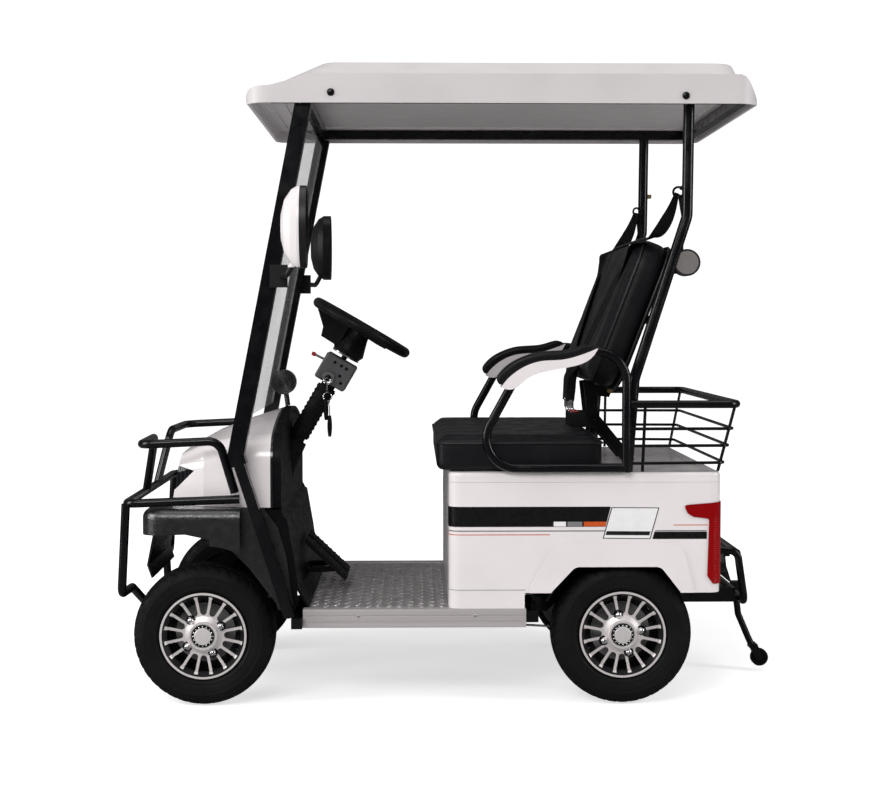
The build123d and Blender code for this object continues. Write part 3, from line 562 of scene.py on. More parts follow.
def rubber():
    finish = Finish("tyre_rubber", (0.006, 0.006, 0.007), 0.6, specular_ior_level=0.1)
    finish.tint((0.003, 0.003, 0.004), (0.010, 0.0095, 0.0095), finish.noise(14.0, 5.0))
    finish.dull(0.5, 0.72, 40.0, 4.0)
    finish.bump(finish.noise(900.0, 3.0), 0.0003, 0.4)
    return finish


def wheel_matrix(side):
    """Lays a form's +Z outwards along the axle on that side, and its +X forwards."""
    return np.array([[-1, 0, 0], [0, 0, side], [0, side, 0]], float)


TYRE_RUBBER = rubber()
for end, side, back, sign in WHEELS:
    form = tyre_form().copies([wheel_matrix(sign)], [(back, sign * TRACK_HALF, AXLE_Z)])
    tyre = make(f"treaded_tyre_{end}_{side}", f"wheel_{end}_{side}", [(form, TYRE_RUBBER)], sharp=28.0)
    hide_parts(f"tyre_{end}_{side}")


# ---------------------------------------------------------------- wheels
# Cast aluminium wheels: the lip, the spokes' faces, the studs at their ends and the hub are turned bright on a
# lathe, and the pockets and the barrel stay gloss black. Four chromed dome nuts and a silver cap sit in the
# middle, and a black dust shield closes the back of the barrel round the brake disc.
NUT_RING_R, NUT_SEAT_OUT = 50.0, 43.0
FACE_OUT = 42.5          # the turned faces stand beyond this distance from the wheel's middle plane
NUT_ANGLES = {"front": (-50, 35, 118, 208), "rear": (20, 110, 190, 281)}
NUT_SEAT = [(12.5, 0.0), (12.5, 2.6), (11.0, 3.0)]     # radius, height, as in the next three
CAP_RING = [(36.5, 54.0), (36.5, 61.5), (35.5, 62.7), (31.0, 62.7), (29.0, 61.0), (29.0, 54.0)]
CAP_DISC = [(21.6, 62.0), (21.6, 65.6), (20.6, 66.4), (10.0, 66.8), (0.6, 66.9)]
SHIELD = [(40.0, -12.0), (92.0, -12.0), (92.0, -9.5), (40.0, -9.5)]
SPOKES, SPOKE_TIP_R = 16.0, 91.8
LIP_R, LIP_OUT = 104.5, 54.5
STUD_R, STUD_OUT = (88.0, 100.0), 48.7
STUD_COSINE = -0.72      # a stud lies where the cosine of the spokes' number times the angle is below this
WELL_R, WELL_OUT = (21.5, 29.5), 58.5    # the gap round the cap's disc, left black as painted shade
DISC_R, DISC_OUT, DISC_HALF = 77.0, -2.7, 4.8
BEAD_R, BEAD_OUT, BEADS = 24.4, 63.6, 16


def two_tone_wheel(back):
    """Bright where the lathe reached: near the outer plane inside the lip, and on the lip itself."""
    finish = Finish("two_tone_wheel", (0.6, 0.6, 0.6), 0.3, specular_ior_level=0.25)
    across, up, radius, aside = finish.about(back, AXLE_Z)
    out = aside - TRACK_HALF / 1000
    face = (out > FACE_OUT / 1000) * (radius < SPOKE_TIP_R / 1000)
    lip = (out > LIP_OUT / 1000) * (radius > LIP_R / 1000)
    between = (up.math("ARCTAN2", across) * SPOKES).math("COSINE") < STUD_COSINE
    studs = between * (out > STUD_OUT / 1000) * radius.within(STUD_R)
    # painted shade: the rim is left black in the gap between the cap's disc and its ring
    shaded_gap = (out > WELL_OUT / 1000) * radius.within(WELL_R)
    turned = face.either(lip).either(studs) * (1.0 - shaded_gap)
    disc = (abs(out - DISC_OUT / 1000) < DISC_HALF / 1000) * (radius < DISC_R / 1000)
    rings = (radius * 9000.0).sine()
    black = finish.mix((0.005, 0.005, 0.006), (0.22, 0.21, 0.21), disc)
    finish.tint(black, (0.84, 0.79, 0.78), turned)
    finish.feed("Metallic", turned * 0.6)
    finish.feed("Roughness", turned.ramp(0.0, 1.0, 0.3, 0.42) + finish.noise(70.0, 3.0) * 0.06)
    finish.bump(rings * turned, 0.00005, 0.3)
    return finish


def chrome():
    finish = Finish("chrome_plate", (0.82, 0.82, 0.84), 0.06, metallic=1.0)
    finish.feed("Roughness", finish.noise(120.0, 3.0).ramp(0.35, 0.75, 0.04, 0.14))
    return finish


def pressed_cap():
    finish = Finish("silver_cap", (0.74, 0.695, 0.69), 0.42, metallic=0.5)
    finish.dull(0.36, 0.5, 140.0, 4.0)
    finish.tint((0.70, 0.66, 0.655), (0.78, 0.735, 0.73), finish.noise(50.0, 3.0))
    return finish


def ring_places(radius, height, angles):
    """One place at each angle round +Z, all at one radius and height."""
    return np.stack([radius * np.cos(angles), radius * np.sin(angles), np.full(len(angles), height)], -1)


def wheel_trim(end):
    """Nut heads in their seats, the cap's disc, ring and beads, and the dust shield: all about +Z."""
    on_ring = ring_places(NUT_RING_R, NUT_SEAT_OUT, np.radians(NUT_ANGLES[end]))
    seats = lathe(NUT_SEAT, 24).at(on_ring)
    nuts = dome(8.6, 12.0, 8, 24).at(on_ring + (0, 0, NUT_SEAT[1][1]))
    beads = dome(2.1, 2.2, 4, 10).at(ring_places(BEAD_R, BEAD_OUT, circle(BEADS)[0]))
    return nuts + beads, lathe(CAP_RING, joined=True) + lathe(CAP_DISC), seats + lathe(SHIELD, joined=True)


CHROME = chrome()
CAP_SILVER = pressed_cap()
for end, side, back, sign in WHEELS:
    lay = [wheel_matrix(sign)], [(back, sign * TRACK_HALF, AXLE_Z)]
    nuts, cap, dark = (form.copies(*lay) for form in wheel_trim(end))
    trim = [(nuts, CHROME), (cap, CAP_SILVER), (dark, COATED)]
    make(f"wheel_nuts_and_cap_{end}_{side}", f"wheel_{end}_{side}", trim)
    dress(two_tone_wheel(back), f"rim_{end}_{side}")


# ---------------------------------------------------------------- nose cowl
# The cowl is one vacuum-formed shell, white gel coat outside, with a narrow black seal round its rear edge,
# where the dash begins.
TRIM_BAND_X = 172.0
GEL_WHITE = (0.80, 0.745, 0.752)
GEL_SHADE = (0.76, 0.71, 0.718)


def gel_coat(name="white_gel_coat"):
    """A faint mottle and a slow ripple under a clear gloss."""
    finish = Finish(name, GEL_WHITE, 0.2, coat_weight=0.3, coat_roughness=0.05)
    finish.tint(GEL_WHITE, GEL_SHADE, finish.noise(5.0, 3.0).ramp(0.4, 0.75))
    finish.dull(0.16, 0.27, 18.0, 3.0)
    finish.bump(finish.noise(9.0, 1.0) + finish.noise(500.0, 2.0) * 0.02, 0.0008, 0.12)
    return finish


def banded_cowl():
    """The white gel coat, black behind the line where the seal begins."""
    finish = gel_coat("white_cowl_with_black_trim")
    x = finish.axes()[0]
    band = x > (TRIM_BAND_X - FRAME_SHIFT) / 1000
    finish.tint(GEL_WHITE, (0.006, 0.006, 0.007), band)
    return finish


WHITE = gel_coat()
dress(banded_cowl(), "nose_cowl")


# ---------------------------------------------------------------- headlamps
# Smoked three-cornered lamps in the corners of the cowl: a dark clear lens, moulded inside with upright
# flutes, that shows almost black when the lamp is off.
def smoked_lens():
    finish = Finish("smoked_lamp_lens", (0.008, 0.008, 0.010), 0.08, specular_ior_level=0.3, coat_weight=0.15)
    y = finish.axes()[1]
    flutes = (y * 900.0).sine()
    # painted sheen on the flutes' crests and painted shade between them
    finish.tint((0.004, 0.004, 0.005), (0.018, 0.018, 0.022), flutes.ramp(0.5, 1.0))
    finish.bump(flutes, 0.0006, 0.5)
    return finish


dress(smoked_lens(), "headlamps")


# ---------------------------------------------------------------- fender, dash panel and wheel tubs
# Thick black polyethylene, moulded with a fine leathery grain. The fender is painted a little paler along the
# top, a painted highlight on its rounded ledge.
def grained_black():
    finish = Finish("grained_black_plastic", (0.005, 0.005, 0.006), 0.45, specular_ior_level=0.08)
    cells = finish.cells(340.0)
    finish.tint((0.002, 0.002, 0.003), (0.006, 0.006, 0.007), finish.noise(9.0, 5.0))
    finish.dull(0.36, 0.54, 55.0, 4.0)
    finish.bump(cells + finish.noise(900.0) * 0.5, 0.0005, 0.45)
    return finish


def glossy_grain():
    """The fender's own skin: the same grain, coarser and shinier, with a painted highlight along the top."""
    finish = Finish("glossy_grained_fender", (0.005, 0.005, 0.006), 0.3, specular_ior_level=0.9)
    z = finish.axes()[2]
    # painted highlight: the colour turns paler towards the top of the fender
    finish.tint((0.004, 0.004, 0.005), (0.010, 0.010, 0.012), z.ramp(0.47, 0.506))
    finish.dull(0.24, 0.38, 55.0, 4.0)
    finish.bump(finish.cells(190.0) + finish.noise(500.0) * 0.5, 0.0007, 0.5)
    return finish


GRAINED = grained_black()
dress(glossy_grain(), "front_fender")
dress(GRAINED, "dash_panel", "wheel_tubs", "battery_pack", "anti_tip_wheel")


# ---------------------------------------------------------------- pedals
# Two cast pedals on steel arms below the dash, with ribbed rubber treads. Arms and treads are one shape here,
# and all of it has the finish of the rubber.
def ribbed_rubber():
    finish = Finish("ribbed_black_rubber", (0.008, 0.008, 0.008), 0.62, specular_ior_level=0.15)
    finish.tint((0.004, 0.004, 0.004), (0.013, 0.0125, 0.012), finish.noise(35.0, 5.0))
    finish.dull(0.52, 0.74, 60.0, 4.0)
    finish.bump(finish.noise(800.0, 3.0), 0.0003, 0.4)
    return finish


RUBBER = ribbed_rubber()
dress(RUBBER, "pedals")


# ---------------------------------------------------------------- front pillars
# Square black tube from the roof down to an elbow above the fender and back to the frame. Hexagon bolts hold
# the screen, the roof and the fender to it.
PILLAR_TOP = np.array([262.0, 1519.5])
PILLAR_ELBOW = np.array([90.0, 643.0])
PILLAR_FACE = 459.0
PILLAR_BOLT_SHARES = (0.06, 0.36, 0.63, 0.92)


def hexagon_bolt(across_flats, height):
    """A washer, then a six-sided head with a small chamfer, about +Z."""
    washer = lathe([(across_flats * 0.72, 0.0), (across_flats * 0.72, 1.2)], 24)
    radius = across_flats / 2 / cos(pi / 6)
    return washer + lathe([(radius, 1.2), (radius, height * 0.85), (radius * 0.9, height)], 6)


def pillar_bolts():
    """Bolts at shares of the straight run from the pillar's top to its elbow."""
    share = np.array(PILLAR_BOLT_SHARES)[:, None]
    along_post = PILLAR_TOP + share * (PILLAR_ELBOW - PILLAR_TOP)
    places = np.stack([along_post[:, 0], np.full(len(share), -PILLAR_FACE), along_post[:, 1]], -1)
    return hexagon_bolt(13.0, 6.0).towards(OUT, places)


make("pillar_bolts", "chassis", [(both_sides(pillar_bolts()), COATED)], sharp=30.0)
dress(COATED, "front_pillars", "front_guard", "roof_frame")


# ---------------------------------------------------------------- windscreen
# One flat sheet of clear acrylic, faintly grey, held between the pillars by bolts. It lets two thirds of the
# light through and has a slight haze.
def clear_acrylic():
    finish = Finish("clear_acrylic", (0.62, 0.63, 0.64), 0.06, specular_ior_level=0.5)
    haze = finish.noise(3.0, 4.0)
    finish.feed("Roughness", haze.ramp(0.5, 0.8, 0.04, 0.1))
    finish.feed("Alpha", haze.ramp(0.3, 0.8, 0.30, 0.38))
    return finish


dress(clear_acrylic(), "windshield")


# ---------------------------------------------------------------- mirrors
# A pair of oval mirrors on clamped stalks. Each has a deep black shell with a white cap over its outer half,
# and a flat silvered glass set just inside the rim.
MIRROR_CENTRE_Y = 584.0
MIRROR_RIM_X = 262.0
MIRROR_FOOT_Z = 1106.0


def capped_mirror():
    """Black, and white outboard of the shell's middle ahead of the rim."""
    finish = Finish("black_mirror_with_white_cap", (0.01, 0.01, 0.011), 0.24, specular_ior_level=0.3)
    x, y, z = finish.axes()
    ahead = x < (MIRROR_RIM_X - FRAME_SHIFT) / 1000
    outer = (abs(y) > MIRROR_CENTRE_Y / 1000) * ahead * (z > MIRROR_FOOT_Z / 1000)
    finish.tint((0.008, 0.008, 0.009), GEL_SHADE, outer)
    finish.feed("Roughness", outer.ramp(0.0, 1.0, 0.34, 0.18) + finish.noise(120.0, 3.0) * 0.06)
    finish.bump(finish.noise(600.0, 2.0), 0.0002, 0.3)
    return finish


def silvered_glass():
    finish = Finish("silvered_glass", (0.80, 0.82, 0.84), 0.02, metallic=1.0)
    finish.feed("Roughness", finish.noise(30.0, 4.0).ramp(0.45, 0.8, 0.01, 0.05))
    return finish


dress(capped_mirror(), "mirror_housings")
dress(silvered_glass(), "mirror_glasses")


# ---------------------------------------------------------------- horn
# A black snail horn behind the screen's foot. Its steel face is pressed in rings round a domed middle and
# painted gloss black.
HORN_X, HORN_Z = 176.0, 809.0


def ringed_horn():
    finish = Finish("ringed_black_horn", (0.006, 0.006, 0.007), 0.28, specular_ior_level=0.8)
    radius = finish.about(HORN_X, HORN_Z)[2]
    rings = (radius * 1500.0).sine()
    # painted highlight on the rings' crests and painted shade between them
    finish.tint((0.004, 0.004, 0.005), (0.016, 0.016, 0.018), rings.ramp(0.3, 1.0))
    finish.bump(rings, 0.0006, 0.6)
    return finish


dress(ringed_horn(), "dash_horn")


# ---------------------------------------------------------------- steering column
# A steel tube up from the steering gear through a ribbed rubber boot, with a grey moulded switch box clamped to
# it under the wheel. The box carries a chromed key lock, a red-tipped lever and dark marks beside its switches.
COLUMN_TOP = np.array([390.5, 0.0, 959.0])
COLUMN_UP = np.array([0.504, 0.0, 0.8637])
COLUMN_AWAY = np.array([0.8637, 0.0, -0.504])
KEY_CENTRE = np.array([300.0, -54.0, 822.0])
KEY_LOCK = [(16.5, 0.0), (17.2, 3.0), (16.0, 5.0), (12.5, 5.4), (12.0, 3.2), (0.5, 3.0)]   # radius, height
BOX_FACE_Y = -48.3
MARKS = ((-14, -22), (6, -22), (22, -22), (16, 4), (28, 20))   # away from the column, down along it
MARK_TILE = [(4.6, 0.0), (4.6, 1.4), (3.6, 2.0)]


def grey_moulding():
    finish = Finish("grey_grained_moulding", (0.10, 0.10, 0.105), 0.45)
    finish.tint((0.075, 0.075, 0.08), (0.13, 0.13, 0.135), finish.noise(40.0, 4.0))
    finish.dull(0.38, 0.54, 70.0, 3.0)
    finish.bump(finish.cells(420.0), 0.0004, 0.4)
    return finish


def flat_black():
    finish = Finish("flat_black_plastic", (0.005, 0.005, 0.006), 0.5, specular_ior_level=0.15)
    finish.dull(0.42, 0.6, 90.0, 3.0)
    return finish


def gloss_red():
    finish = Finish("gloss_red_plastic", (0.48, 0.015, 0.015), 0.2, coat_weight=0.4)
    finish.tint((0.42, 0.01, 0.012), (0.56, 0.02, 0.02), finish.noise(60.0, 3.0))
    return finish


def bar(path, radius, around=14):
    """A round bar along a path: each ring lies across the mean direction of the runs that meet there."""
    path = np.asarray(path, float)
    run = unit(np.diff(path, axis=0))
    ahead = unit(np.vstack([run[:1], run[:-1] + run[1:], run[-1:]]))
    guide = (0.0, 1.0, 0.0) if abs(ahead[:, 1]).max() < 0.9 else (0.0, 0.0, 1.0)
    side = unit(np.cross(ahead, guide))
    other = np.cross(ahead, side)
    angle = circle(around)[..., None]
    ring = np.cos(angle) * side[:, None] + np.sin(angle) * other[:, None]
    radius = np.broadcast_to(radius, len(path))[:, None, None]
    return net(path[:, None] + radius * ring)


def ring_bar(centre, normal, radius, thickness, around=40):
    """A torus: a circle of circles about a direction."""
    turn, roll = circle(around).T, circle(10)
    reach = radius + thickness * np.cos(roll)
    ring = np.stack([reach * np.cos(turn), reach * np.sin(turn), thickness * np.sin(roll) + 0 * turn], -1)
    return net(ring, True).towards(normal, [centre])


def fob(top, length):
    """A flat rounded tag that hangs below its ring: an ellipse, wider in the middle, carried down its
    length."""
    t = np.linspace(0, 1, 12)[:, None]
    angle = circle(16)
    half = 0.4 + 0.6 * np.sin(pi * np.clip(t, 0.04, 0.96)) ** 0.5
    x = 6.6 * half * np.cos(angle)
    y = 2.4 * half * np.sin(angle)
    z = -length * t + 0 * angle
    return net(np.stack([x, y, z], -1) + top)


def switch_gear():
    """The lock with its rings and tags, the lever with its knob, and a low six-sided tile for each mark."""
    lock = lathe(KEY_LOCK, 32).towards(OUT, [KEY_CENTRE])
    barrel = dome(8.5, 5.0, 5).towards(OUT, [KEY_CENTRE + (0, -3, 0)])
    hang = KEY_CENTRE + (-2.0, -12.0, 0.0)
    rings = ring_bar(hang + (0, 0, -9), (0, 1, 0), 9.0, 1.0)
    rings = rings + ring_bar(hang + (0, 0, -29), (1, 0, 0), 11.5, 1.0)
    rings = rings + bar([KEY_CENTRE + (0, -6, 0), hang + (1, -1, 0)], 2.0, 10)
    clip = ring_bar(hang + (1, 0, -51), (0, 1, 0), 11.5, 1.0)
    clip = clip + bar([hang + (2, -0.5, -62), hang + (7, -4, -80), hang + (7, -4, -106)], 1.3, 8)
    tags = fob(hang + (-3.0, 0.0, -61.0), 54.0) + fob(hang + (7.0, -4.0, -102.0), 58.0)
    stem = COLUMN_TOP - 110 * COLUMN_UP + (-30, -20, 0)
    tip = COLUMN_TOP - 100 * COLUMN_UP + (-75, -30, 12)
    lever = bar([stem, tip], 3.4, 12)
    knob = bar([tip, tip + (tip - stem) * 0.10, tip + (tip - stem) * 0.24], [5.0, 6.2, 4.4], 14)
    middle = COLUMN_TOP - 140 * COLUMN_UP + (0, BOX_FACE_Y, 0)
    places = [middle + shift * COLUMN_AWAY - drop * COLUMN_UP for shift, drop in MARKS]
    marks = lathe(MARK_TILE, 6).towards(OUT, places)
    return [(lock + rings + clip + lever, CHROME), (barrel + tags + marks, flat_black()), (knob, gloss_red())]


make("key_lock_and_switches", "chassis", switch_gear(), sharp=32.0)
dress(grey_moulding(), "switch_box")
dress(RUBBER, "steering_column")


# ---------------------------------------------------------------- steering wheel
# A steel wheel foamed in soft black with a fine grain. A chromed lock ring is pushed on round the hub, below
# the cup.
LOCK_RING = [  # radius, height
    (38.0, -3.0), (40.5, -2.0), (40.5, 1.0), (38.8, 3.0), (38.8, 7.0), (40.5, 9.0), (40.5, 12.0), (38.0, 13.0),
]
LOCK_RING_DROP = 88.0     # from the top of the column down along it


def soft_foam():
    finish = Finish("soft_black_foam", (0.005, 0.005, 0.006), 0.4, specular_ior_level=0.2)
    finish.tint((0.003, 0.003, 0.004), (0.009, 0.009, 0.010), finish.noise(25.0, 5.0))
    finish.dull(0.32, 0.5, 60.0, 4.0)
    finish.bump(finish.cells(520.0), 0.0003, 0.4)
    return finish


def lock_ring():
    """A chromed ring round the hub's foot, with a shallow hollow between two lips."""
    return lathe(LOCK_RING).towards(COLUMN_UP, [COLUMN_TOP - LOCK_RING_DROP * COLUMN_UP])


make("steering_lock_ring", "steering_wheel", [(lock_ring(), CHROME)])
dress(soft_foam(), "steering_wheel")


# ---------------------------------------------------------------- roof
# One thermoformed canopy of white plastic with a turned-down skirt and a raised crown, bolted through the skirt
# to a square tube frame. Two black dome-headed bolts show on each side.
ROOF_BOLTS = [(330.6, -475.0, 1539.2), (1207.4, -475.0, 1532.8)]
# Both roof tones are set well below the body's white: painted shade over the whole roof.
ROOF_WHITE_IN_PAINTED_SHADE = (0.58, 0.545, 0.55)
ROOF_SHADE = (0.53, 0.495, 0.50)


def thermoformed_white():
    """The body's white painted darker all over as painted shade, with a flatter, duller surface and a few grey
    scuffs.
    """
    finish = Finish("thermoformed_white", ROOF_WHITE_IN_PAINTED_SHADE, 0.34, specular_ior_level=0.25)
    finish.tint(ROOF_WHITE_IN_PAINTED_SHADE, ROOF_SHADE, finish.noise(4.0, 4.0).ramp(0.45, 0.8))
    finish.dull(0.3, 0.42, 26.0, 3.0)
    finish.bump(finish.noise(600.0, 2.0), 0.0002, 0.15)
    return finish


make("roof_bolts", "chassis", [(both_sides(dome(9.5, 5.0).towards(OUT, ROOF_BOLTS)), COATED)])
dress(thermoformed_white(), "roof_shell")


# ---------------------------------------------------------------- rear pillars
# Two bent black tubes carry the roof behind the seat, with a cross tube that stays the seat back. Brass-plated
# bolts hold the belt's upper rings and the stays.
def yellow_zinc():
    finish = Finish("yellow_zinc", (0.50, 0.34, 0.14), 0.28, metallic=1.0)
    finish.tint((0.42, 0.27, 0.10), (0.62, 0.46, 0.24), finish.noise(140.0, 4.0))
    finish.dull(0.2, 0.38, 90.0, 3.0)
    return finish


BRASS = yellow_zinc()
dress(COATED, "rear_pillars", "rear_bumper", "anti_tip_arm")


# ---------------------------------------------------------------- rear body
# A white moulded tub round the batteries and the wheels, with a lid. Its sides carry vinyl strips: a black band
# that wraps the front corner, thin grey and orange lines, and a white blank plate.
SIDE = 430.0
CORNER_R = 30.0
BODY_FRONT = 622.0
VINYL_PROUD = 0.35
VINYL_UNDER = 0.1        # how far a film's back face lies inside the body
VINYL_LAYER = 0.12       # how much further out a film lies on top of another
VINYL = (  # colour, layer, corners as (distance back, height)
    ("black", 0, [(652, 458), (652, 509), (1031, 509), (1018, 458)]),
    ("white", 1, [(887, 459), (887, 471), (918, 471), (918, 459)]),
    ("grey", 1, [(922, 459), (922, 471), (959, 471), (959, 459)]),
    ("orange", 1, [(963, 459), (963, 471), (1021, 471), (1018, 459)]),
    ("grey", 0, [(652, 446), (652, 449), (1024, 449), (1023, 446)]),
    ("grey", 0, [(1144, 446), (1144, 449), (1274, 449), (1274, 446)]),
    ("orange", 0, [(652, 437), (652, 439), (878, 439), (877, 437)]),
    ("dark", 0, [(1011, 428), (1033, 507.5), (1154, 506.5), (1132, 426.5)]),
    ("white", 1, [(1014, 430), (1035, 505.5), (1151, 504.5), (1130, 428.5)]),
    ("dark", 2, [(1018, 437), (1021, 447), (1132, 446), (1129, 436)]),
    ("black", 0, [(1137, 426.5), (1142, 445), (1275, 445), (1275, 426.5)]),
    ("orange", 0, [(1190, 461), (1190, 463), (1277, 463), (1277, 461)]),
    ("grey", 0, [(652, 297), (652, 298.4), (815, 298.4), (816, 297)]),
)
VINYL_COLOURS = {
    "black": (0.006, 0.0055, 0.006), "dark": (0.012, 0.012, 0.013), "grey": (0.20, 0.20, 0.205),
    "orange": (0.55, 0.085, 0.014), "white": (0.80, 0.79, 0.79),
}
WRAP_FROM = 652          # the films that start here run on round the front corner


def vinyl(colour):
    """Printed film: even colour, a soft gloss and a trace of orange peel from the shell under it."""
    tone = np.array(VINYL_COLOURS[colour])
    finish = Finish(f"vinyl_{colour}", tuple(tone), 0.3, specular_ior_level=0.2)
    lighter = np.minimum(tone * 1.06, 1)
    finish.tint(tuple(tone * 0.93), tuple(lighter), finish.noise(30.0, 3.0))
    finish.dull(0.24, 0.4, 60.0, 3.0)
    return finish


def flat_film(corners, proud):
    """A four-cornered film on the left side: its front face proud of the body, its back face just under it."""
    corners = np.asarray(corners, float)
    sheet = np.stack([corners[:, 0], np.full(4, -SIDE - proud), corners[:, 1]], -1)
    return net(np.stack([sheet + (0, proud + VINYL_UNDER, 0), sheet]))


def corner_film(z0, z1, proud):
    """Film round the front corner: a quarter circle in plan, drawn between two heights, then on along the
    front."""
    turn = np.linspace(0, pi / 2, 12)
    reach = CORNER_R + proud
    x = BODY_FRONT + CORNER_R - reach * np.sin(turn)
    y = -SIDE + CORNER_R - reach * np.cos(turn)
    x, y = np.append(x, x[-1]), np.append(y, y[-1] + 60)
    outer = np.stack([np.stack([x, y, np.full(13, z)], -1) for z in (z0, z1)])
    inward = np.stack([np.append(np.sin(turn), 1), np.append(np.cos(turn), 0), np.zeros(13)], -1)
    inward = inward * (proud + VINYL_UNDER)
    return net(np.stack([outer[0], outer[1], outer[1] + inward, outer[0] + inward], axis=1))


def side_films():
    """Each flat film, with its wrap where it starts at the corner. All of one colour make one form."""
    layers = {}
    for colour, layer, corners in VINYL:
        films = layers.setdefault(colour, [])
        films.append(flat_film(corners, VINYL_PROUD + VINYL_LAYER * layer))
        if corners[0][0] == WRAP_FROM:
            films.append(corner_film(corners[0][1], corners[1][1], VINYL_PROUD))
    return [(both_sides(sum(films[1:], films[0])), vinyl(colour)) for colour, films in layers.items()]


make("side_strips", "chassis", side_films(), sharp=30.0)
dress(WHITE, "rear_body", "rear_cover")


# ---------------------------------------------------------------- tail lamps
# Red acrylic lamps let into the rear corners, moulded in one piece: a deep red upper lobe over a lower bar with
# moulded ribs.
def red_lens():
    finish = Finish("red_lamp_lens", (0.30, 0.004, 0.005), 0.12, specular_ior_level=0.18)
    z = finish.axes()[2]
    upper = z.ramp(0.46, 0.50)
    # painted highlight on the ribs and painted shade between them, in the lower bar
    ribs = (z * 1100.0).sine().ramp(0.2, 1.0) * (1.0 - upper)
    lower = finish.mix((0.20, 0.001, 0.002), (0.42, 0.002, 0.003), ribs)
    finish.tint(lower, (0.24, 0.001, 0.002), upper)
    finish.bump(ribs, 0.0006, 0.5)
    return finish


dress(red_lens(), "tail_lamps")


# ---------------------------------------------------------------- seat cushion and seat back
# Foam under black vinyl, sewn from a top panel and a boxing with piping in the seams. The foam swells between
# the seams. The seat back leans back from the cushion, and two piping lines run down its outer sides.
SEAT_LEAN = 21.0
CUSHION = (592.0, 1014.0, 404.0, 598.5, 680.0)   # front, rear, half width, underside, top
BACK_FOOT = np.array([976.0, 0.0, 830.0])
BACK_HEIGHT = 389.0
BACK_SET = 4.0             # the pad's front face lies this far behind the line of its foot
BACK_THICK = 76.0
BACK_HALF = 384.0
BACK_CORNER = 78.0
PAN = (79.0, 86.5)         # the back pan's front and rear faces, behind the same line
SWELL_CAP = 9.0
PIPING_R = 3.0
PIPING_DEPTHS = (12.0, 79.0)       # behind the same line
PIPING_DROP = 13.0                 # below the cushion's top
VOXEL, SWELL_FRAMES = 0.007, 20
CLOTH = {
    "use_pressure": True, "uniform_pressure_force": 4.0, "tension_stiffness": 30, "compression_stiffness": 30,
    "bending_stiffness": 4,
}


def seat_vinyl(name="black_seat_vinyl"):
    """A fine hide grain of two sizes of cell, a soft sheen, and a little paler in broad patches."""
    finish = Finish(name, (0.005, 0.005, 0.006), 0.42, specular_ior_level=0.22)
    grain = finish.cells(330.0) + finish.cells(900.0) * 0.4
    finish.tint((0.0035, 0.0035, 0.0045), (0.009, 0.009, 0.011), finish.noise(6.0, 5.0))
    finish.dull(0.34, 0.5, 16.0, 4.0)
    finish.bump(grain, 0.0005, 0.4)
    return finish


def rounded_loop(half_a, half_b, corner):
    """A closed rectangle with round corners, as (a, b) points in order."""
    turn = np.linspace(0, pi / 2, 9)
    quarter = np.stack([np.cos(turn), np.sin(turn)], -1) * corner
    loops = []
    for number, (sa, sb) in enumerate([(1, 1), (-1, 1), (-1, -1), (1, -1)]):
        arc = quarter if number % 2 == 0 else quarter[::-1]
        loops.append(arc * (sa, sb) + ((half_a - corner) * sa, (half_b - corner) * sb))
    return np.concatenate(loops)


def pillow(half, corner, edge):
    """A slab across +X: the same round-cornered rectangle at every depth, drawn in by edge (1 - sin t) round
    its two edges, and in towards the middle over its two faces."""
    depth, half_a, half_b = half
    t = np.linspace(0, pi / 2, 6)
    least = min(half_a, half_b)
    inset = np.concatenate([np.linspace(least - 3, edge, 9)[:-1], edge * (1 - np.sin(t))])
    reach = np.concatenate([np.full(8, depth), depth - edge + edge * np.cos(t)])
    inset, reach = np.append(inset, inset[::-1]), np.append(-reach, reach[::-1])
    rows = [rounded_loop(half_a - i, half_b - i, max(corner - i, 2.0)) for i in inset]
    return net(np.stack([np.column_stack([np.full(len(r), x), r]) for r, x in zip(rows, reach)]))


def lean():
    """Turns upright to the seat back's lean, about the cart's cross axis."""
    c, s = cos(radians(SEAT_LEAN)), sin(radians(SEAT_LEAN))
    return np.array([[c, 0, s], [0, 1, 0], [-s, 0, c]])


def swell(piece, flat_below=None):
    """Foam pushes the cover out: voxel remesh, then some frames of pressed cloth. Each point keeps only its
    outward share of that, up to a cap, so that the seams stay where the piping holds them."""
    bpy.context.view_layer.objects.active = piece
    remesh = piece.modifiers.new("voxels", "REMESH")
    remesh.mode = "VOXEL"
    remesh.voxel_size = VOXEL
    settle(piece)
    before = mesh_points(piece)
    normals = np.empty(before.size)
    piece.data.vertex_normals.foreach_get("vector", normals)
    normals = normals.reshape(-1, 3)
    settings = piece.modifiers.new("cloth", "CLOTH").settings
    for word, value in CLOTH.items():
        setattr(settings, word, value)
    settings.effector_weights.gravity = 0
    for frame_number in range(1, SWELL_FRAMES + 1):
        bpy.context.scene.frame_set(frame_number)
    settle(piece)
    bpy.context.scene.frame_set(1)
    outward = ((mesh_points(piece) - before) * normals).sum(1, keepdims=True)
    after = before + normals * np.clip(outward, 0.0, SWELL_CAP / 1000)
    if flat_below is not None:
        after[:, 2] = np.maximum(after[:, 2], flat_below / 1000)
    piece.data.vertices.foreach_set("co", after.reshape(-1))
    piece.data.update()


def mesh_points(piece):
    points = np.empty(len(piece.data.vertices) * 3)
    piece.data.vertices.foreach_get("co", points)
    return points.reshape(-1, 3)


def settle(piece):
    """Applies the piece's modifiers to its mesh."""
    result = bpy.data.meshes.new_from_object(piece.evaluated_get(bpy.context.evaluated_depsgraph_get()))
    piece.modifiers.clear()
    piece.data = result


SEAT_VINYL = seat_vinyl()
PIPING = Finish("seat_piping", (0.007, 0.007, 0.008), 0.34, specular_ior_level=0.3)
PIPING.tint((0.005, 0.005, 0.006), (0.014, 0.014, 0.016), PIPING.noise(80.0, 4.0))
PIPING.bump(PIPING.noise(500.0, 3.0), 0.0003, 0.4)


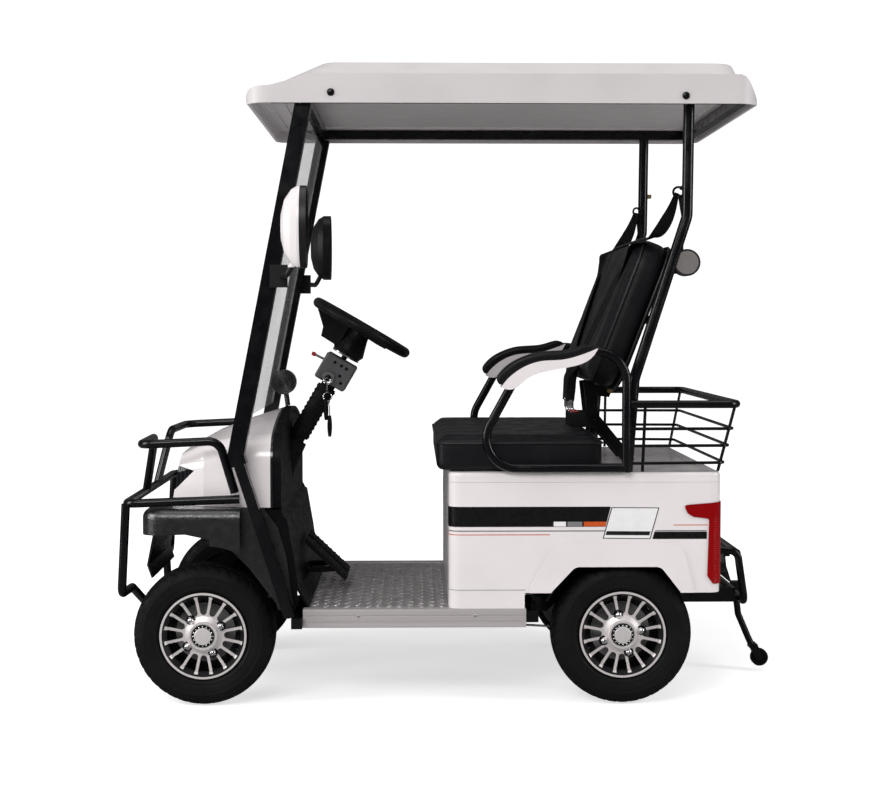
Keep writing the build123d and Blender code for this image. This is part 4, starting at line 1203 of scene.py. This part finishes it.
def subdivide(piece):
    finer = piece.modifiers.new("finer", "SUBSURF")
    finer.levels = finer.render_levels = 1


def pad(name, form, flat_below=None):
    """A swollen cover, smooth all over. No point may lie lower than flat_below."""
    piece = make(name, "chassis", [(form, SEAT_VINYL)], sharp=180.0)
    swell(piece, flat_below)
    piece.data.shade_smooth()
    subdivide(piece)
    return piece


def ring_path(points, radius, around=8):
    """A closed round bar: rings across the mean direction at each point of a loop."""
    ahead = unit(np.roll(points, -1, 0) - np.roll(points, 1, 0))
    normal = unit(np.cross(points - points.mean(0), ahead).mean(0))
    side = np.cross(ahead, normal)
    angle = circle(around)[..., None]
    return net(points[:, None] + radius * (np.cos(angle) * side[:, None] + np.sin(angle) * normal), True)


cushion_centre = np.array([(CUSHION[0] + CUSHION[1]) / 2, 0.0, (CUSHION[3] + CUSHION[4]) / 2])
cushion_half = np.array([(CUSHION[1] - CUSHION[0]) / 2, CUSHION[2], (CUSHION[4] - CUSHION[3]) / 2])
upright = np.array([[0, 0, -1], [0, 1, 0], [1, 0, 0]], float)
cushion_form = pillow(cushion_half[[2, 1, 0]], 30.0, 15.0).copies([upright], [cushion_centre])
cushion = pad("seat_cushion_cover", cushion_form, CUSHION[3])
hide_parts("seat_cushion")


def on_back(height, across, off):
    """A spot on the leaning back: up it, across it, and off the line of its foot towards the cushion."""
    return BACK_FOOT + lean() @ np.array([-off, across, height])


back_middle = on_back(BACK_HEIGHT / 2, 0.0, -(BACK_SET + BACK_THICK / 2))
back_half = np.array([BACK_THICK / 2, BACK_HALF, BACK_HEIGHT / 2])
back_form = pillow(back_half, BACK_CORNER, 24.0).copies([lean()], [back_middle])
back = pad("seat_back_cover", back_form)
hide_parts("seat_back")

pan_half = np.array([(PAN[1] - PAN[0]) / 2, BACK_HALF + 3, BACK_HEIGHT / 2 + 2])
pan_middle = on_back(BACK_HEIGHT / 2, 0.0, -(PAN[0] + PAN[1]) / 2)
pan_form = pillow(pan_half, BACK_CORNER + 2, 5.0).copies([lean()], [pan_middle])
make("seat_back_pan", "chassis", [(pan_form, GRAINED)])


def seat_piping():
    """Loops of piping round the cushion's top edge and round both edges of the seat back's side."""
    loop = rounded_loop(cushion_half[0] + 1, cushion_half[1] + 1, 31.0)
    height = np.full(len(loop), cushion_half[2] - PIPING_DROP)
    forms = ring_path(np.stack([loop[:, 0], loop[:, 1], height], -1) + cushion_centre, PIPING_R)
    for depth in PIPING_DEPTHS:
        loop = rounded_loop(BACK_HALF + 1, BACK_HEIGHT / 2 + 1, BACK_CORNER + 1)
        inward = np.full(len(loop), depth - BACK_SET - BACK_THICK / 2)
        edge = np.stack([inward, loop[:, 0], loop[:, 1]], -1)
        forms = forms + ring_path(edge @ lean().T + back_middle, PIPING_R)
    return forms


make("seat_piping", "chassis", [(seat_piping(), PIPING)])


# ---------------------------------------------------------------- armrests
# Bent black tubes carry white swoosh shells with a soft black grip pressed over each. The grip is a foam form,
# wider and rounder in the middle than at its tips.
ARM_Y = 443.0
GRIP_TOP = [(752, 812), (742, 838), (777, 874), (838, 899), (915, 906), (966, 919), (993, 909)]
GRIP_SEAM = [(752, 812), (800, 858), (850, 877), (905, 881), (946, 891), (993, 909)]
GRIP_HALF = 29.0


def smooth_line(points, count):
    """A curve through the points: each coordinate is a cubic blend of its neighbours, by length along them."""
    points = np.asarray(points, float)
    length = np.concatenate([[0], np.cumsum(np.linalg.norm(np.diff(points, axis=0), axis=1))])
    padded = np.vstack([2 * points[0] - points[1], points, 2 * points[-1] - points[-2]])
    t = np.linspace(0, length[-1], count)
    k = np.clip(np.searchsorted(length, t, side="right") - 1, 0, len(points) - 2)
    u = ((t - length[k]) / (length[k + 1] - length[k]))[:, None]
    p0, p1, p2, p3 = padded[k], padded[k + 1], padded[k + 2], padded[k + 3]
    square, cube = 2 * p0 - 5 * p1 + 4 * p2 - p3, 3 * p1 - p0 - 3 * p2 + p3
    return 0.5 * (2 * p1 + (p2 - p0) * u + square * u ** 2 + cube * u ** 3)


def grip_form():
    """Between the top line and the seam line, each cross section is a squared-off oval: half width times
    |cos|^0.6 across, and from the seam to the top times |sin|^0.6 up."""
    top, seam = smooth_line(GRIP_TOP, 44)[1:-1], smooth_line(GRIP_SEAM, 44)[1:-1]
    t = np.linspace(0, 1, len(top))[:, None]
    half = (GRIP_HALF - 1.5) * (0.52 + 0.48 * np.sin(pi * t) ** 0.5)
    angle = circle(22)
    across = half * np.sign(np.cos(angle)) * np.abs(np.cos(angle)) ** 0.6
    rise = 0.5 + 0.5 * np.sign(np.sin(angle)) * np.abs(np.sin(angle)) ** 0.6
    spread = seam[:, None] * (1 - rise[..., None]) + (top[:, None] + (0, -0.6)) * rise[..., None]
    return net(np.stack([spread[..., 0], across - ARM_Y, spread[..., 1]], -1))


grips = make("armrest_grips", "chassis", [(both_sides(grip_form()), soft_foam())], sharp=180.0)
subdivide(grips)
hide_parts("armrest_pads")
dress(COATED, "armrest_frames")
dress(WHITE, "armrest_shells")


# ---------------------------------------------------------------- seat belts
# Black polyester webbing, 47 mm wide, runs from a sprung reel on each rear pillar up through a slotted ring,
# twists over the top of the seat back, lies across its front and ends in a plated tongue at a buckle box.
WEBBING = 1.8
RING_AT = np.array([1203.0, -390.0, 1302.0])
BUCKLE_AT = np.array([993.0, -42.0, 707.0])
REEL_X, REEL_Z, REEL_FACE_R, REEL_FACE_Y = 1222.0, 1124.0, 29.0, 414.0


def webbing():
    """Ribs across the strap, a fine twill over them and a dull sheen."""
    finish = Finish("black_webbing", (0.006, 0.006, 0.007), 0.6, specular_ior_level=0.15)
    x, y, z = finish.axes()
    ribs = (z * 3600.0).sine() * 0.5 + ((x + y) * 5200.0).sine() * 0.5
    # painted shade in the hollows between the ribs and the twill, lighter on their crests
    finish.tint((0.004, 0.004, 0.005), (0.015, 0.015, 0.017), ribs.ramp(-0.6, 0.9))
    finish.dull(0.5, 0.72, 50.0, 3.0)
    finish.bump(ribs, 0.0003, 0.5)
    return finish


def strap(stations, count):
    """A flat band through (point, width, direction across): at each step a thin rectangle, as wide as that
    along the direction across, and thick along what is square to both it and the run."""
    points = smooth_line([p for p, w, d in stations], count)
    share = np.linspace(0, len(stations) - 1, count)
    steps = np.arange(len(stations))
    width = np.interp(share, steps, [w for p, w, d in stations])[:, None]
    across = np.stack([np.interp(share, steps, [d[i] for p, w, d in stations]) for i in range(3)], -1)
    ahead = unit(np.gradient(points, axis=0))
    across = unit(across - (across * ahead).sum(1)[:, None] * ahead)
    thick = np.cross(ahead, across) * WEBBING / 2
    side = across * width / 2
    return net(np.stack([points + a * side + b * thick for a, b in ((1, 1), (1, -1), (-1, -1), (-1, 1))], 1))


def shoulder_strap():
    """The run from the ring over the pad's top corner to the tongue, and the short one up from the reel."""
    shoulder = strap([
        (RING_AT + (-3, 0, -2), 15.0, (0.75, 0.6, -0.3)),
        ((1184.0, -386.0, 1252.0), 32.0, (0.93, 0.15, 0.3)),
        ((1162.0, -378.0, 1210.0), 46.0, (0.93, 0.2, 0.35)),
        ((1139.0, -362.0, 1187.0), 47.0, (0.8, 0.6, 0.3)),
        (on_back(374, -334, 2), 47.0, (0.3, 0.95, 0.2)),
        (on_back(345, -300, 3), 47.0, (0.0, 1.0, 0.4)),
        (on_back(300, -262, 6), 47.0, (0.0, 1.0, 0.5)),
        (on_back(190, -190, 9), 47.0, (0.0, 1.0, 0.6)),
        (on_back(60, -104, 8), 47.0, (0.0, 1.0, 0.6)),
        (on_back(-2, -54, 5), 46.0, (0.0, 1.0, 0.3)),
        ((966.0, -44.0, 788.0), 38.0, (0.7, 0.8, 0.0)),
        ((963.0, -42.0, 757.0), 26.0, (0.9, 0.4, 0.0)),
    ], 90)
    rise = strap([
        ((1214.0, -396.0, 1154.0), 44.0, (0.1, 1.0, 0.0)),
        ((1212.0, -394.0, 1230.0), 40.0, (0.1, 1.0, 0.0)),
        (RING_AT + (4, 0, -6), 20.0, (0.5, 0.8, 0.0)),
    ], 24)
    return shoulder + rise


def block(half, corner, centre):
    """A small moulded block: a pillow with its broad faces fore and aft."""
    return pillow(half, corner, min(corner, half[0] * 0.8)).at([centre])


def belt_hardware():
    """The tongue's plate and hook are plated, the button is red, and the ring, its stay and the box are
    black."""
    ring = ring_bar(RING_AT, (0.35, 0.9, 0.2), 13.0, 3.0)
    stay = bar([RING_AT + (5, -2, 10), (1214, -399, 1314), (1222, -404, 1318)], 5.0, 12)
    case = block((33.0, 19.0, 21.0), 5.0, BUCKLE_AT)
    foot = bar([BUCKLE_AT + (24, -6, -4), (1024, -56, 704), (1032, -60, 708)], 6.0, 12)
    tongue = block((9.0, 1.8, 12.0), 1.4, (964.0, -42.0, 750.0))
    hook = ring_bar((966.0, -42.0, 734.0), (0, 1, 0), 7.5, 1.8)
    link = bar([(971, -42, 729), (980, -42, 726), BUCKLE_AT + (-6, 0, 14)], 2.2, 10)
    button = block((12.0, 13.0, 3.0), 2.0, BUCKLE_AT + (-18, 0, 20))
    return [
        (both_sides(ring + stay + case + foot), flat_black()),
        (both_sides(tongue + hook + link), CHROME),
        (both_sides(button), gloss_red()),
    ]


def reel_cover():
    """A grey pressed cover inside a black rim: the face turns grey near the reel's axis."""
    finish = Finish("belt_reel_cover", (0.10, 0.095, 0.095), 0.4)
    radius, aside = finish.about(REEL_X, REEL_Z)[2:]
    inner = (radius < REEL_FACE_R / 1000) * (aside > REEL_FACE_Y / 1000)
    finish.tint((0.008, 0.008, 0.009), (0.16, 0.145, 0.14), inner)
    finish.dull(0.34, 0.5, 70.0, 3.0)
    finish.bump((radius * 900.0).sine() * inner, 0.0002, 0.3)
    return finish


belts = make("belt_straps", "chassis", [(both_sides(shoulder_strap()), webbing())], sharp=50.0)
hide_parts("seat_belts")
make("belt_hardware", "chassis", belt_hardware(), sharp=40.0)
dress(reel_cover(), "belt_retractors")


def brass_bolts():
    """Hexagon heads on the seat back's brackets, and one behind the right pillar where its ring is held."""
    sideways = hexagon_bolt(12.0, 8.0).towards(OUT, [(1071, -64, 788), (1080, -64, 812)])
    behind = hexagon_bolt(12.0, 12.0).towards((1, 0, 0), [(1236, 412, 1350)])
    return both_sides(sideways) + behind


make("yellow_bolts", "chassis", [(brass_bolts(), BRASS)], sharp=30.0)


# ---------------------------------------------------------------- basket
# A wire luggage basket round the rear of the cover: one thick top rail and three thin hoops, welded to four
# uprights, all under the same gloss black coat as the frame.
dress(COATED, "basket")
